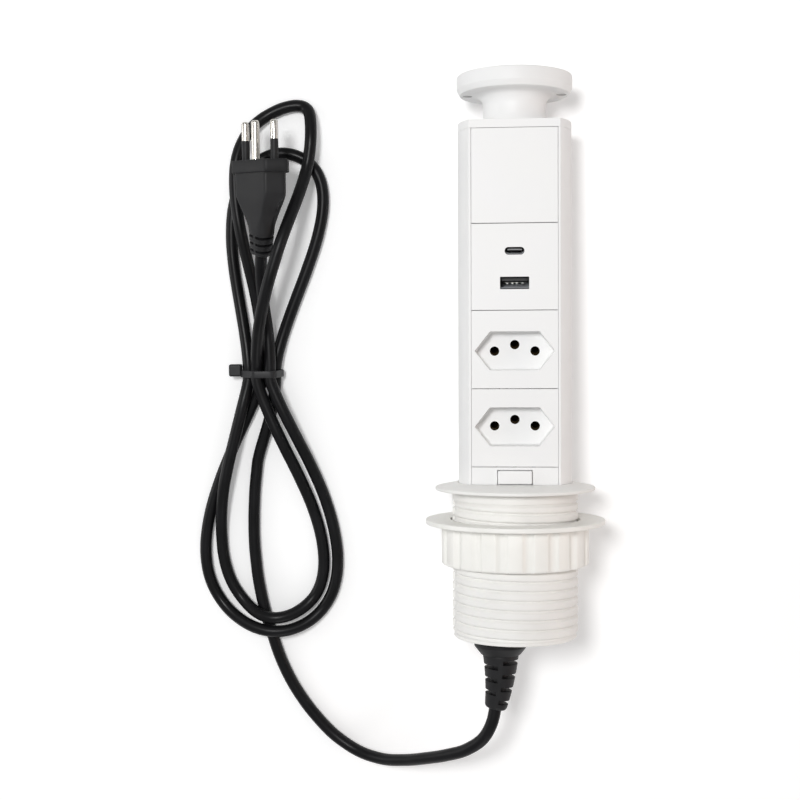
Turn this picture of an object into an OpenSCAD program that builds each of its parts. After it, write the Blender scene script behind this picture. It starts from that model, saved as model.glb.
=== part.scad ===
// Pop up desk socket: a round tower with a flat front of covers slides up out of a threaded
// sleeve that clamps in a desk hole. Every piece of the tower is modelled standing, with the
// desk's top face at zero, and laid down at the end. The mains lead lies beside it in a tied hank.

/* [Tower] */
// Outer diameter of the round tower
tower_d = 53.5; // [52:0.1:54]
// How far the flat front is cut in from the round side
front_cut = 10.35; // [9.8:0.05:11]
// Wall of the tower shell
tower_wall = 2.6; // [2.4:0.1:2.8]
// How far inside the sleeve's lower end the raised tower stays
tail_in = 3.5; // [2:0.5:9]
// Width of the shell's lip on each side of the front covers
cover_side = 1.03; // [0.8:0.01:1.2]
// Thickness of the front covers
cover_t = 2; // [1.8:0.1:2.2]
// Seam between two front covers
seam = 0.3; // [0.2:0.1:0.5]
// Height of the lower cover above the desk's top face
strip_h = 11.8; // [11:0.1:14]
// Height of one socket cover
socket_h = 36.3; // [35:0.1:38]
// Height of the USB cover
usb_h = 40.2; // [38:0.1:44]
// Height of the blank cover
blank_h = 44.1; // [30:0.1:50]
// Height of the top cap's visible band
cap_h = 3.9; // [3:0.1:5]
// Thickness of the bottom cap
bottom_cap_t = 4; // [3:0.1:6]

/* [Knob] */
// How far the pull knob reaches past the tower's side
knob_reach = 0.45; // [0.2:0.05:1]
// Thickness of the pull knob
knob_h = 8.8; // [8:0.1:10]
// Height of the waist between tower and knob
waist_h = 13.6; // [12:0.1:18]
// Diameter of the waist at its narrowest
waist_d = 29.3; // [24:0.1:30]
// Rise of the knob's shallow dome
dome_rise = 1.2; // [0.6:0.1:2]

/* [Sockets] */
// How far the tips of the socket recess stay inside the cover's sides
recess_side = 1.45; // [1.2:0.05:1.8]
// Height of the socket recess
recess_h = 18.1; // [17.4:0.1:19]
// Depth of the socket recess
recess_depth = 10; // [8:0.1:11]
// Distance between the two outer pin holes
pin_pitch = 19; // [19:0.1:19.2]
// Offset of the earth hole from the line of the outer holes
earth_offset = 3; // [2.8:0.1:3.2]
// Diameter of the pin holes
pin_hole_d = 4.4; // [4.2:0.1:4.8]

/* [USB ports] */
// Width of the opening for the wide port
usb_a_w = 13.4; // [13:0.1:14]
// Height of the opening for the wide port
usb_a_h = 5.7; // [5.2:0.1:6]
// Height of the wide port's centre above the cover's lower edge
usb_a_z = 12.6; // [11:0.1:14]
// Width of the opening for the narrow port
usb_c_w = 9.1; // [8.8:0.1:9.6]
// Height of the opening for the narrow port
usb_c_h = 3.5; // [3.3:0.1:3.8]
// Height of the narrow port's centre above the cover's lower edge
usb_c_z = 27.4; // [26:0.1:30]

/* [Latch] */
// Width of the latch button
latch_w = 15.8; // [14:0.1:17]
// Height of the latch button
latch_h = 6.3; // [5:0.1:6.5]
// How far the latch button stands proud of the flat front
latch_proud = 1.9; // [1.7:0.1:2.2]
// Travel of the latch button
latch_travel = 1.7; // [1.4:0.1:1.7]

/* [Collar and sleeve] */
// How far the collar reaches past the thread
collar_reach = 8.05; // [6:0.05:10]
// Height of the collar
collar_h = 3.6; // [3:0.1:4.5]
// Height of the collar's upright rim
collar_rim_h = 1.5; // [1:0.1:2]
// Wall of the sleeve under its thread
barrel_wall = 1.3; // [1.1:0.1:1.6]
// Depth of the sleeve's thread
thread_depth = 1.2; // [0.8:0.1:1.3]
// Pitch of the sleeve's thread
thread_pitch = 4.45; // [4:0.05:5]
// Length of the sleeve below the desk's top face
sleeve_len = 69.5; // [66:0.5:72]
// Plain neck above the thread
neck_h = 4.5; // [3:0.1:6]

/* [Clamp] */
// Desk thickness that the clamp is set to
grip = 13.9; // [11:0.1:30]
// How far the clamp washer reaches past the thread
washer_reach = 12.85; // [10:0.05:16]
// Thickness of the clamp washer
washer_t = 2.2; // [1.6:0.1:3]
// Wall of the lock nut
nut_wall = 4.95; // [4:0.05:7]
// Height of the lock nut
nut_h = 19.2; // [15:0.1:22]
// Number of finger flutes round the lock nut
flutes = 18; // [12:1:20]

/* [Lead] */
// Diameter of the mains lead
cord_d = 6; // [5.8:0.1:6.1]
// Offset of the lead's gland from the tower's axis
gland_x = 6.9; // [5:0.1:8]
// Gap between the gland's flange and the heads of the lower cap's screws
gland_gap = 2.16; // [1.5:0.01:3]
// Length of the ribbed strain relief
relief_len = 25.5; // [22:0.1:30]
// Diameter of the strain relief where its ribs begin
relief_d1 = 17; // [15:0.1:18]
// Diameter of the strain relief at its free end
relief_d2 = 10.4; // [10:0.1:12]

/* [Plug] */
// Width of the plug's face between its two tips
plug_w = 36; // [35:0.1:36.6]
// Height of the plug's face
plug_h = 16.8; // [16:0.1:17.2]
// Length of the plug's solid body
plug_len = 33; // [30:0.5:36]
// Diameter of the plug's pins
pin_d = 4; // [3.9:0.1:4.1]
// Length of the plug's pins
pin_len = 19; // [18.5:0.1:19.5]

/* [Hidden] */

// Facets asked of round faces, and of the children of a hull
round_fn = 96;
hull_fn = 32;
// Overrun of every cut past the face that it opens
over = 0.5;
// Clearances: a sliding fit, a seat within one body, and the gap round a moving piece
slide_gap = 0.35;
seat_gap = 0.1;
move_gap = 0.3;

white = "#f0f0ef";
warm_white = "#f2f1ec";
collar_white = "#e2e2df";
black = "#2c2c2e";
steel = "#c9cacc";
brass = "#c9a64b";
board_green = "#2f6b45";

// Heights of the tower's stack above the desk's top face
lower_socket_z = strip_h;
upper_socket_z = lower_socket_z + socket_h;
usb_z = upper_socket_z + socket_h;
blank_z = usb_z + usb_h;
cap_z = blank_z + blank_h;
top_z = cap_z + cap_h;
knob_z = top_z + waist_h;
knob_top = knob_z + knob_h;
tower_r = tower_d / 2;
tower_tail = sleeve_len - tail_in;
shell_r = tower_r - tower_wall;
core_r = shell_r - seat_gap;
front_flat = tower_r - front_cut;
front_half_w = sqrt(tower_r * tower_r - front_flat * front_flat);
cover_w = 2 * (front_half_w - cover_side);
cover_back = front_flat - cover_t;
shell_bottom = bottom_cap_t - tower_tail;

// Knob rim: a lower chamfer, an upright band and a rounded upper edge
knob_r = tower_r + knob_reach;
knob_edge = 0.8;
knob_chamfer_h = 2.6;
knob_chamfer_in = 1.5;
knob_hole_in = 5.2;
knob_hole_d = 5;
knob_hole_depth = 3;
knob_band_top = knob_top - knob_edge;
waist_base = 30.7;
waist_flare = 5.2;
waist_flare_h = 6;
waist_foot_h = 4;

// Sleeve bore, and the part of the collar that is keyed to the tower's flat
bore_relief = 0.15;
bore_r = tower_r + slide_gap + bore_relief;
root_r = bore_r + barrel_wall;
thread_r = root_r + thread_depth;
collar_r = thread_r + collar_reach;
key_depth = 1;
collar_spigot_wall = 1.2;
collar_spigot_r = bore_r + collar_spigot_wall;
collar_seat_h = 1;
latch_notch_gap = 0.4;
strip_w = 7;
strip_turn = 78;
strip_rise = 0.15;
lip_h = 1.2;
ring_z = 10;
ring_h = 5;
ring_depth = 1;
ring_side = 0.87;
ring_opening = 2 * (front_half_w + ring_side);

washer_top = -grip;
washer_play = 1;
washer_r = thread_r + washer_reach;
nut_r = thread_r + move_gap + nut_wall;
nut_top = washer_top - washer_t;
flute_r = 3;
flute_depth = 1.5;
nut_edge = 1.6;

// Screw ports that run down inside the shell
port_turn = 45;
port_r = 3.2;
port_in = 2.3;
port_at = shell_r - port_in;
port_bore = 2.5;
screw_d = 3;
screw_len = 12;
screw_head_d = 5.6;
screw_head_h = 1.7;
knob_screw_d = 5;
knob_screw_head_d = 9;
knob_screw_head_h = 3;
knob_screw_bite = 5.4;
spigot_h = 3;

// Socket cup, block and contacts
cup_wall = 1.2;
cup_floor = 1.6;
recess_flat_share = 0.62;
lower_socket_shift = 0.5;
upper_socket_shift = -0.6;
bar_room = 3.05;
contact_wall = 0.9;
contact_slot = 0.8;
block_w = 29;
block_h = 17;
bar_t = 0.8;
bar_w = 5;
bar_tail = 14;
recess_w = cover_w - 2 * recess_side;
recess_floor_y = recess_depth - front_flat;
block_y = recess_floor_y + cup_floor;
// The bars stand a little in front of the screw ports, and the contacts reach back to them
bar_y = port_at * cos(port_turn) - port_r - bar_room;
contact_len = bar_y - block_y;

// USB board behind its cover
board_y = -1.6;
board_t = 1.6;
board_w = 34;
board_h = 36;
post_d = 4;
post_in = 4;
port_wall = 0.4;
tongue_in = 0.8;
usb_a_tongue_h = 1.8;
usb_a_tongue_lift = 1.1;
usb_c_tongue_h = 0.7;
usb_c_tongue_side = 1.2;
transformer_w = 16;
transformer_h = 15;
transformer_t = 12;
transformer_lift = 8;
transformer_core_share = 0.6;
capacitor_d = 8;
capacitor_h = 10;
capacitor_pitch = 9;
capacitor_drop = 10;

// Blank cover's stiffening ribs
rib_t = 1.4;
rib_depth = 5;
rib_side = 13;
rib_end = 4;

// Latch button, its guide and its spring
latch_rest_gap = 0.2;
latch_z = collar_h + latch_rest_gap;
latch_flange = 1.6;
latch_flange_t = 1.2;
latch_gap = 0.3;
guide_w = 1.6;
spring_closed = 6.2;
guide_len = move_gap + latch_flange_t + latch_travel + spring_closed + guide_w;
spring_d = 4.8;
spring_wire = 0.7;
spring_turns = 5;
spring_rings = 8;
spring_sides = 6;
latch_round = 1;

// Bottom cap, gland, lead clamp and inner leads
gland_d = 2 * (norm([port_at * sin(port_turn) - gland_x, port_at * cos(port_turn)]) - screw_head_d / 2 - gland_gap);
gland_flange_h = 8.5;
gland_cone_h = 5;
gland_shoulder = 0.6;
relief_turn = 12;
relief_root = 2;
relief_rings = 4;
gap_right_at = 0.36;
gap_left_at = 0.74;
relief_spine = 0.9;
relief_slot = 1.9;
relief_wall = 0.8;
relief_core_r = cord_d / 2 + seat_gap / 2;
clamp_w = 22;
clamp_t = 4;
clamp_h = 8;
clamp_lift = 2;
clamp_screw_at = 8;
clamp_screw_len = 8;
inlet_up = 16;
wire_d = 2;
wire_points = 8;
wire_spread = 2.2;

// Lying pose: the clamp washer and the knob both touch the table
lay_angle = atan((washer_r - knob_r) / (knob_band_top - washer_top));
lift = washer_r * cos(lay_angle) + washer_top * sin(lay_angle);
function lay_y(p) = -p.y * sin(lay_angle) + p.z * cos(lay_angle);
function lay_z(p) = -p.y * cos(lay_angle) - p.z * sin(lay_angle) + lift;
function lay(p) = [p.x, lay_y(p) + along_shift, lay_z(p)];

// Relief: a soft cone that bends sideways round an arc
relief_bend_r = relief_len / (relief_turn * PI / 180);
relief_top = -tower_tail - gland_flange_h - gland_cone_h;
function relief_at(s) = let(a = relief_turn * s)
    [-gland_x - relief_bend_r * (1 - cos(a)), 0, relief_top - relief_bend_r * sin(a)];
function relief_dir(s) = [-sin(relief_turn * s), 0, -cos(relief_turn * s)];

// The laid object's reach along the table, which centres it on the origin
reach_top = max([for (p = knob_profile()) p.x * sin(lay_angle) + p.y * cos(lay_angle)]);
reach_bottom = lay_y(relief_at(1) - [0, 0, relief_d2 / 2 * sin(relief_turn)]);
along_shift = -(reach_top + reach_bottom) / 2;

// Plug body, its sleeves and its relief
plug_flange = 6;
plug_flat_share = 0.62;
plug_neck_w = 15;
plug_neck_h = 10.6;
plug_body_share = 0.88;
plug_shoulder = 17;
plug_relief_len = 13;
plug_relief_start = 0.8;
plug_relief_w = 12.4;
plug_relief_h = 8.8;
plug_relief_droop = 24;
plug_relief_turn = 7;
plug_relief_slots = 3;
plug_relief_slot = 1.1;
plug_relief_spine = 1.6;
pin_root = 6;
pin_tip = 1.2;
live_pin_d = 3.8;
sleeve_len_share = 0.52;
sleeve_wall = 0.15;
plug_roll = -33;
plug_turn = 0;

// Lead: the free stretch's points are chosen by hand, measured from the collar's underside
table_gap = 0.05;
cord_r = cord_d / 2;
cord_z = cord_r + table_gap;
tube_sides = 8;
hank_sides = 6;
hank_at = [-127.4, 52.9, 0];
plug_at = [-122.6, 157.7, 24.8];
free_points = [[-15, -119.2, 49], [-23.6, -126.8, 45.2], [-34.2, -132.4, 38.4], [-45.2, -137.4, 29.8],
    [-56.6, -142, 20.4], [-68.6, -144.6, 12], [-80.8, -143, 6], [-92.8, -136.2, 3.4], [-104, -124.6, cord_z],
    [-113.5, -111, cord_z], [-120.3, -97.2, cord_z], [-125.2, -82.5, cord_z], [-129.4, -67.4, cord_z],
    [-131.8, -54.5, cord_z], [-133.2, -41.3, cord_z], [-133.7, -27.3, cord_z], [-133.2, -13.3, cord_z],
    [-132, 0, cord_z]];

// Hank: each loop is a teardrop hung from the tie. Its length, the reach of its two legs, its
// lean, how sharply it is drawn in at the waist, and its places at the tie are real sizes.
loop_rings = 24;
strand_step = 6.7;
low_z = 4.45;
mid_z = 6.4;
high_z = 10.8;
measure_steps = 6;
// Length, first reach, second reach, lean, and first and second waist exponents of each loop
short_arch = [109.8, 20.3, 17, 11.7, 2.2, 2.2];
inner_loop = [-125.2, -22.6, -26.6, 9, 1.8, 1.8];
tall_arch = [133.1, 13.2, 24.1, 20.3, 2.4, 3];
outer_loop = [-132.2, -34.6, -30.8, 3.3, 1.55, 1.55];
// How soon a leg leaves its straight run through the tie, as a share of the loop's length
soft_start = 0.035;
side_a = -strand_step;
side_b = 0;
side_c = -1.8;
side_d = side_c + strand_step;
side_e = strand_step;
// Heights along each loop: share of the way round, and height there. Crossing strands are 6.5 apart
short_heights = [[0, low_z], [0.05, low_z], [0.16, cord_z], [0.78, cord_z], [0.95, mid_z], [1, mid_z]];
inner_heights = [[0, mid_z], [0.035, mid_z], [0.13, 9.6], [0.22, 9.6], [0.32, cord_z], [0.4, cord_z],
    [0.5, 9.9], [0.6, cord_z], [0.71, cord_z], [0.85, 10.6], [0.95, high_z], [1, high_z]];
tall_heights = [[0, high_z], [0.04, high_z], [0.215, 28], [0.235, 28], [0.35, 10], [0.37, 10], [0.49, cord_z],
    [0.55, cord_z], [0.665, 9.8], [0.725, 9.8], [0.84, cord_z], [0.95, low_z], [1, low_z]];
outer_heights = [[0, low_z], [0.05, low_z], [0.16, cord_z], [0.38, cord_z], [0.49, 9.9], [0.6, cord_z],
    [0.74, cord_z], [0.88, 10.9], [0.95, high_z], [1, high_z]];

tie_w = 3.6;
tie_t = 1.1;
tie_side = 11.6;
tie_round = 3.4;
tie_head_w = 6.4;
tie_head_l = 6.1;
tie_head_h = 5;
tie_head_shift = 1.7;
tie_slack = 0.15;
tie_top = high_z + cord_r + tie_slack;

function unit(v) = v / norm(v);
function flat_blend(u) = u <= 0 ? 0 : u >= 1 ? 1 : u * u * (3 - 2 * u);

// Half of the knob's section: points as [radius, height]
function knob_profile() = concat(
    [[0, knob_z], [knob_r - knob_chamfer_in, knob_z], [knob_r, knob_z + knob_chamfer_h]],
    [for (a = [0 : 15 : 90]) [knob_r - knob_edge + knob_edge * cos(a), knob_band_top + knob_edge * sin(a)]],
    [for (i = [4 : -1 : 0]) let(q = i / 5)
        [(knob_r - knob_edge) * q, knob_top + dome_rise * (1 - q * q)]]);

// Sweep of a round section along a path, closed at both ends, with a frame that never twists
function tangent(p, i) = unit(p[min(i + 1, len(p) - 1)] - p[max(i - 1, 0)]);
function sweep_frames(p, last, i = 0, done = []) = i == len(p) ? done :
    let(t = tangent(p, i), side = unit(cross(t, last)), up = cross(side, t))
    sweep_frames(p, up, i + 1, concat(done, [[side, up]]));
function ring_points(p, r, sides, last) = let(f = sweep_frames(p, last))
    [for (i = [0 : len(p) - 1], k = [0 : sides - 1]) let(a = 360 * (k + 0.5) / sides)
        p[i] + (is_list(r) ? r[i] : r) * (cos(a) * f[i][0] + sin(a) * f[i][1])];
module tube(path, r, sides, last = [0, 0, 1]) {
    n = len(path);
    sides_faces = [for (i = [0 : n - 2], k = [0 : sides - 1]) let(a = i * sides + k,
        b = i * sides + (k + 1) % sides) each [[a, b, b + sides], [a, b + sides, a + sides]]];
    first_cap = [for (k = [1 : sides - 2]) [0, k + 1, k]];
    last_cap = [for (k = [1 : sides - 2]) (n - 1) * sides * [1, 1, 1] + [0, k, k + 1]];
    polyhedron(points = ring_points(path, r, sides, last), faces = concat(sides_faces, first_cap, last_cap));
}
module lay_down() {
    translate([0, along_shift, lift]) rotate([-90 - lay_angle, 0, 0]) children();
}
module on_table() {
    translate([0, along_shift, 0]) children();
}

// Outline of the tower: a circle cut by the flat front
module tower_outline(grow = 0) {
    difference() {
        circle(r = tower_r + grow, $fn = round_fn);
        translate([-tower_d, -front_flat - grow - tower_d]) square([2 * tower_d, tower_d]);
    }
}
// Places of the two screw ports
module at_ports() {
    for (s = [-1, 1]) rotate(s * port_turn) translate([0, port_at]) children();
}
// A box centred across, from a front depth backwards, standing on a height
module front_box(w, depth, h, y, z) {
    translate([-w / 2, y, z]) cube([w, depth, h]);
}
// Cylinder that points to the back from a depth
module back_rod(d, len, y, z, x = 0) {
    translate([x, y, z]) rotate([-90, 0, 0]) cylinder(d = d, h = len, $fn = round_fn);
}

// Collar: the sleeve's edge seats in a groove round its spigot, and its opening is keyed to the tower's flat
module collar_ring() {
    color(collar_white) lay_down() difference() {
        union() {
            rotate_extrude($fn = round_fn) polygon([[0, 0], [collar_r, 0],
                [collar_r, collar_rim_h], [bore_r + over, collar_h], [0, collar_h]]);
            translate([0, 0, -key_depth]) cylinder(r = collar_spigot_r, h = key_depth + over, $fn = round_fn);
        }
        translate([0, 0, -over]) difference() {
            cylinder(r = thread_r + seat_gap, h = collar_seat_h + over, $fn = round_fn);
            translate([0, 0, -over]) cylinder(r = collar_spigot_r, h = collar_seat_h + 3 * over, $fn = round_fn);
        }
        translate([0, 0, -key_depth - over])
            linear_extrude(key_depth + collar_h + 2 * over) tower_outline(slide_gap);
        latch_notch();
    }
}
module threaded_sleeve() {
    color(collar_white) lay_down() difference() {
        sleeve_body();
        translate([0, 0, -sleeve_len - over])
            cylinder(r = bore_r, h = sleeve_len + collar_seat_h + 2 * over, $fn = round_fn);
        translate([0, 0, -key_depth - seat_gap])
            cylinder(r = collar_spigot_r + seat_gap, h = key_depth + seat_gap + collar_seat_h + over, $fn = round_fn);
        translate([0, 0, -ring_z]) cylinder(r = bore_r + ring_depth, h = ring_h, $fn = round_fn);
    }
}
// The threaded part, with its two smooth strips
module sleeve_body() {
    difference() {
        rotate_extrude($fn = round_fn) polygon(concat([[0, collar_seat_h], [thread_r, collar_seat_h], [thread_r, -neck_h]],
            thread_teeth(), [[root_r, lip_h - sleeve_len], [thread_r - thread_depth / 2, lip_h - sleeve_len],
            [thread_r - thread_depth / 2, -sleeve_len], [0, -sleeve_len]]));
        for (turn = [-strip_turn, 180 - strip_turn]) rotate(turn) difference() {
            translate([-strip_w / 2, -2 * thread_r, lip_h - sleeve_len])
                cube([strip_w, 2 * thread_r, sleeve_len - lip_h - neck_h]);
            translate([0, 0, -sleeve_len]) cylinder(r = root_r + strip_rise, h = sleeve_len, $fn = round_fn);
        }
    }
}
thread_count = floor((sleeve_len - neck_h - lip_h) / thread_pitch);
thread_land = 0.32;
thread_flank = 0.2;
function thread_teeth() = [for (i = [0 : thread_count - 1]) let(z = -neck_h - i * thread_pitch)
    each [[root_r, z - thread_flank * thread_pitch],
        [root_r, z - (thread_flank + thread_land / 2) * thread_pitch],
        [thread_r, z - (2 * thread_flank + thread_land / 2) * thread_pitch],
        [thread_r, z - thread_pitch * (i == thread_count - 1 ? 1 - thread_flank : 1)]]];
// Way for the latch button through the keyed collar
module latch_notch() {
    w = latch_w + 2 * latch_notch_gap;
    front_box(w, latch_proud + latch_notch_gap + over, collar_h + key_depth + 2 * over,
        -front_flat - latch_proud - latch_notch_gap, -key_depth - over);
}

// Soft ring in the sleeve that holds the tower at any height
module friction_ring() {
    color(black) lay_down() difference() {
        translate([0, 0, seat_gap - ring_z])
            cylinder(r = bore_r + ring_depth - seat_gap, h = ring_h - 2 * seat_gap, $fn = round_fn);
        translate([0, 0, -ring_z]) cylinder(r = tower_r + move_gap / 2, h = ring_h, $fn = round_fn);
        translate([-ring_opening / 2, -tower_d, -ring_z]) cube([ring_opening, tower_d, ring_h]);
    }
}

module clamp_washer() {
    color(white) lay_down() translate([0, 0, washer_top - washer_t]) difference() {
        cylinder(r = washer_r, h = washer_t, $fn = round_fn);
        translate([0, 0, -over]) cylinder(r = thread_r + washer_play, h = washer_t + 2 * over, $fn = round_fn);
    }
}

module lock_nut() {
    color(warm_white) lay_down() translate([0, 0, nut_top - nut_h]) difference() {
        rotate_extrude($fn = round_fn) polygon([[thread_r + move_gap, 0], [nut_r - nut_edge, 0],
            [nut_r, nut_edge], [nut_r, nut_h - nut_edge], [nut_r - nut_edge, nut_h - seat_gap],
            [thread_r + move_gap, nut_h - seat_gap]]);
        for (i = [0 : flutes - 1]) rotate(360 * (i + 1 / 2) / flutes)
            translate([0, -nut_r - flute_r + flute_depth, -over]) cylinder(r = flute_r, h = nut_h + 2 * over, $fn = hull_fn);
    }
}

// Shell: an extrusion open at the front, with a rebate for the covers and two screw ports
module shell_outline() {
    difference() {
        tower_outline();
        difference() {
            circle(r = shell_r, $fn = round_fn);
            at_ports() circle(r = port_r, $fn = hull_fn);
        }
        translate([-cover_w / 2, -front_flat - over]) square([cover_w, cover_t + over]);
        at_ports() circle(d = port_bore, $fn = hull_fn);
    }
}
module tower_shell() {
    color(white) lay_down() translate([0, 0, shell_bottom])
        linear_extrude(cap_z - shell_bottom) shell_outline();
}

module spigot(h) {
    linear_extrude(h) difference() {
        circle(r = core_r, $fn = round_fn);
        translate([-tower_d, -cover_back + seat_gap - tower_d]) square([2 * tower_d, tower_d]);
        at_ports() circle(r = port_r + seat_gap, $fn = hull_fn);
    }
}
module top_cap() {
    color(white) lay_down() difference() {
        union() {
            translate([0, 0, cap_z]) linear_extrude(cap_h) tower_outline();
            translate([0, 0, cap_z - spigot_h]) spigot(spigot_h);
        }
        translate([0, 0, cap_z - spigot_h - over])
            cylinder(d = knob_screw_d + 2 * seat_gap, h = cap_h + spigot_h + 2 * over, $fn = round_fn);
        at_ports() translate([0, 0, cap_z - over]) {
            cylinder(d = screw_d + 2 * seat_gap, h = cap_h + 2 * over, $fn = round_fn);
            translate([0, 0, cap_h + over - screw_head_h])
                cylinder(d = screw_head_d + 2 * seat_gap, h = screw_head_h + over, $fn = round_fn);
        }
    }
}
// Waist: its radius at a height above the tower
function waist_radius(h) =
    let(foot = max(0, 1 - h / waist_foot_h), flare = max(0, 1 - (waist_h - h) / waist_flare_h))
    waist_d / 2 + (waist_base - waist_d) / 2 * foot * foot + waist_flare * (1 - sqrt(1 - flare * flare));
module knob_waist() {
    color(white) lay_down() difference() {
        translate([0, 0, top_z]) rotate_extrude($fn = round_fn) polygon(concat([[0, 0]],
            [for (i = [0 : 16]) let(h = waist_h * i / 16) [waist_radius(h), h]], [[0, waist_h]]));
        translate([0, 0, top_z - over])
            cylinder(d = knob_screw_d + 2 * seat_gap, h = waist_h + 2 * over, $fn = round_fn);
    }
}
module knob_disc() {
    color(white) lay_down() difference() {
        rotate_extrude($fn = round_fn) polygon(knob_profile());
        translate([0, 0, knob_z - over])
            cylinder(d = knob_screw_d + 2 * seat_gap, h = knob_screw_bite + over + seat_gap, $fn = round_fn);
        for (s = [-1, 1]) translate([s * (knob_r - knob_hole_in), 0, knob_z - over])
            cylinder(d = knob_hole_d, h = knob_hole_depth + over, $fn = round_fn);
    }
}
module knob_screw() {
    z = cap_z - spigot_h;
    color(steel) lay_down() difference() {
        union() {
            translate([0, 0, z - knob_screw_head_h])
                cylinder(d = knob_screw_head_d, h = knob_screw_head_h, $fn = round_fn);
            translate([0, 0, z - over])
                cylinder(d = knob_screw_d, h = knob_z + knob_screw_bite - z + over, $fn = round_fn);
        }
        translate([0, 0, z - knob_screw_head_h]) cross_slot(knob_screw_head_d, knob_screw_head_h / 2);
    }
}
// Cross recess for a driver, cut upwards from the head's face
module cross_slot(d, depth) {
    for (a = [0, 90]) rotate(a) translate([-d / 3, -d / 14, -over]) cube([d * 2 / 3, d / 7, depth + over]);
}

// Flat front cover that fills the rebate
module cover(z, h) {
    w = cover_w - 2 * seat_gap;
    front_box(w, cover_t, h - seam, -front_flat, z + seam / 2);
}
module blank_cover() {
    color(white) lay_down() {
        cover(blank_z, blank_h);
        for (s = [-1, 1]) translate([s * rib_side - rib_t / 2, -cover_back, blank_z + rib_end])
            cube([rib_t, rib_depth, blank_h - 2 * rib_end - spigot_h]);
    }
}

usb_a_at = usb_z + usb_a_z;
usb_c_at = usb_z + usb_c_z;
module slot_opening(w, h, depth, y, z) {
    hull() for (s = [-1, 1]) back_rod(h, depth, y, z, s * (w - h) / 2);
}
module usb_cover() {
    color(white) lay_down() difference() {
        union() {
            cover(usb_z, usb_h);
            for (sx = [-1, 1], sz = [-1, 1]) back_rod(post_d, cover_back + board_y, -cover_back,
                usb_z + usb_h / 2 + sz * (board_h / 2 - post_in), sx * (board_w / 2 - post_in));
        }
        front_box(usb_a_w, cover_t + 2 * over, usb_a_h, -front_flat - over, usb_a_at - usb_a_h / 2);
        slot_opening(usb_c_w, usb_c_h, cover_t + 2 * over, -front_flat - over, usb_c_at);
    }
}
port_front = seat_gap - cover_back;
module usb_a_shell() {
    w = usb_a_w + 2 * port_wall;
    h = usb_a_h + 2 * port_wall;
    color(steel) lay_down() difference() {
        front_box(w, board_y - port_front, h, port_front, usb_a_at - h / 2);
        front_box(usb_a_w, board_y - port_front, usb_a_h, port_front - port_wall, usb_a_at - usb_a_h / 2);
    }
}
module usb_a_tongue() {
    color(black) lay_down() front_box(usb_a_w - 2 * tongue_in, board_y - port_front - port_wall - seat_gap - tongue_in,
        usb_a_tongue_h, port_front + tongue_in, usb_a_at + usb_a_tongue_lift - usb_a_tongue_h / 2);
}
module usb_c_shell() {
    color(steel) lay_down() difference() {
        slot_opening(usb_c_w + 2 * port_wall, usb_c_h + 2 * port_wall, board_y - port_front, port_front, usb_c_at);
        slot_opening(usb_c_w, usb_c_h, board_y - port_front, port_front - port_wall, usb_c_at);
    }
}
module usb_c_tongue() {
    color(black) lay_down() front_box(usb_c_w - 2 * usb_c_tongue_side,
        board_y - port_front - port_wall - seat_gap - tongue_in, usb_c_tongue_h, port_front + tongue_in,
        usb_c_at - usb_c_tongue_h / 2);
}
module usb_board() {
    color(board_green) lay_down() front_box(board_w, board_t, board_h, board_y, usb_z + (usb_h - board_h) / 2);
}
board_back = board_y + board_t;
module usb_transformer() {
    z = usb_z + usb_h / 2 + transformer_lift;
    color("#d8b93c") lay_down() {
        front_box(transformer_w, transformer_t * transformer_core_share, transformer_h * transformer_core_share,
            board_back, z - transformer_h * transformer_core_share / 2);
        front_box(transformer_w * transformer_core_share, transformer_t, transformer_h, board_back,
            z - transformer_h / 2);
    }
}
module usb_capacitors() {
    color("#3b4a63") lay_down() for (s = [-1, 1])
        back_rod(capacitor_d, capacitor_h, board_back, usb_z + usb_h / 2 - capacitor_drop,
            s * capacitor_pitch / 2);
}

// Six-cornered outline with its tips at the sides, as the plug has
module six_sided(w, h, flat_share) {
    polygon([[-w / 2, 0], [-w / 2 * flat_share, h / 2], [w / 2 * flat_share, h / 2], [w / 2, 0],
        [w / 2 * flat_share, -h / 2], [-w / 2 * flat_share, -h / 2]]);
}
module six_sided_prism(w, h, depth, y, z) {
    translate([0, y + depth, z]) rotate([90, 0, 0]) linear_extrude(depth) six_sided(w, h, recess_flat_share);
}
lower_socket_at = lower_socket_z + socket_h / 2 + lower_socket_shift;
upper_socket_at = upper_socket_z + socket_h / 2 + upper_socket_shift;
pin_places = [[-pin_pitch / 2, 0], [0, earth_offset], [pin_pitch / 2, 0]];
module socket_cover(z, at) {
    cup_w = recess_w + 2 * cup_wall;
    cup_h = recess_h + 2 * cup_wall;
    color(white) lay_down() difference() {
        union() {
            cover(z, socket_h);
            intersection() {
                six_sided_prism(cup_w, cup_h, recess_depth - cover_t + cup_floor, -cover_back, at);
                translate([0, 0, z]) cylinder(r = core_r, h = socket_h, $fn = round_fn);
            }
        }
        six_sided_prism(recess_w, recess_h, recess_depth + over, -front_flat - over, at);
        for (p = pin_places) back_rod(pin_hole_d, cup_floor + 2 * over, recess_floor_y - over, at + p.y, p.x);
    }
}
module upper_socket_cover() { socket_cover(upper_socket_z, upper_socket_at); }
module lower_socket_cover() { socket_cover(lower_socket_z, lower_socket_at); }

contact_d = pin_hole_d + 2 * contact_wall;
module socket_block(at) {
    color(warm_white) lay_down() difference() {
        front_box(block_w, contact_len - seat_gap, block_h, block_y, at - block_h / 2 + earth_offset / 2);
        for (p = pin_places) back_rod(contact_d + 2 * seat_gap, contact_len + 2 * over, block_y - over,
            at + p.y, p.x);
    }
}
module upper_socket_block() { socket_block(upper_socket_at); }
module lower_socket_block() { socket_block(lower_socket_at); }
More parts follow.
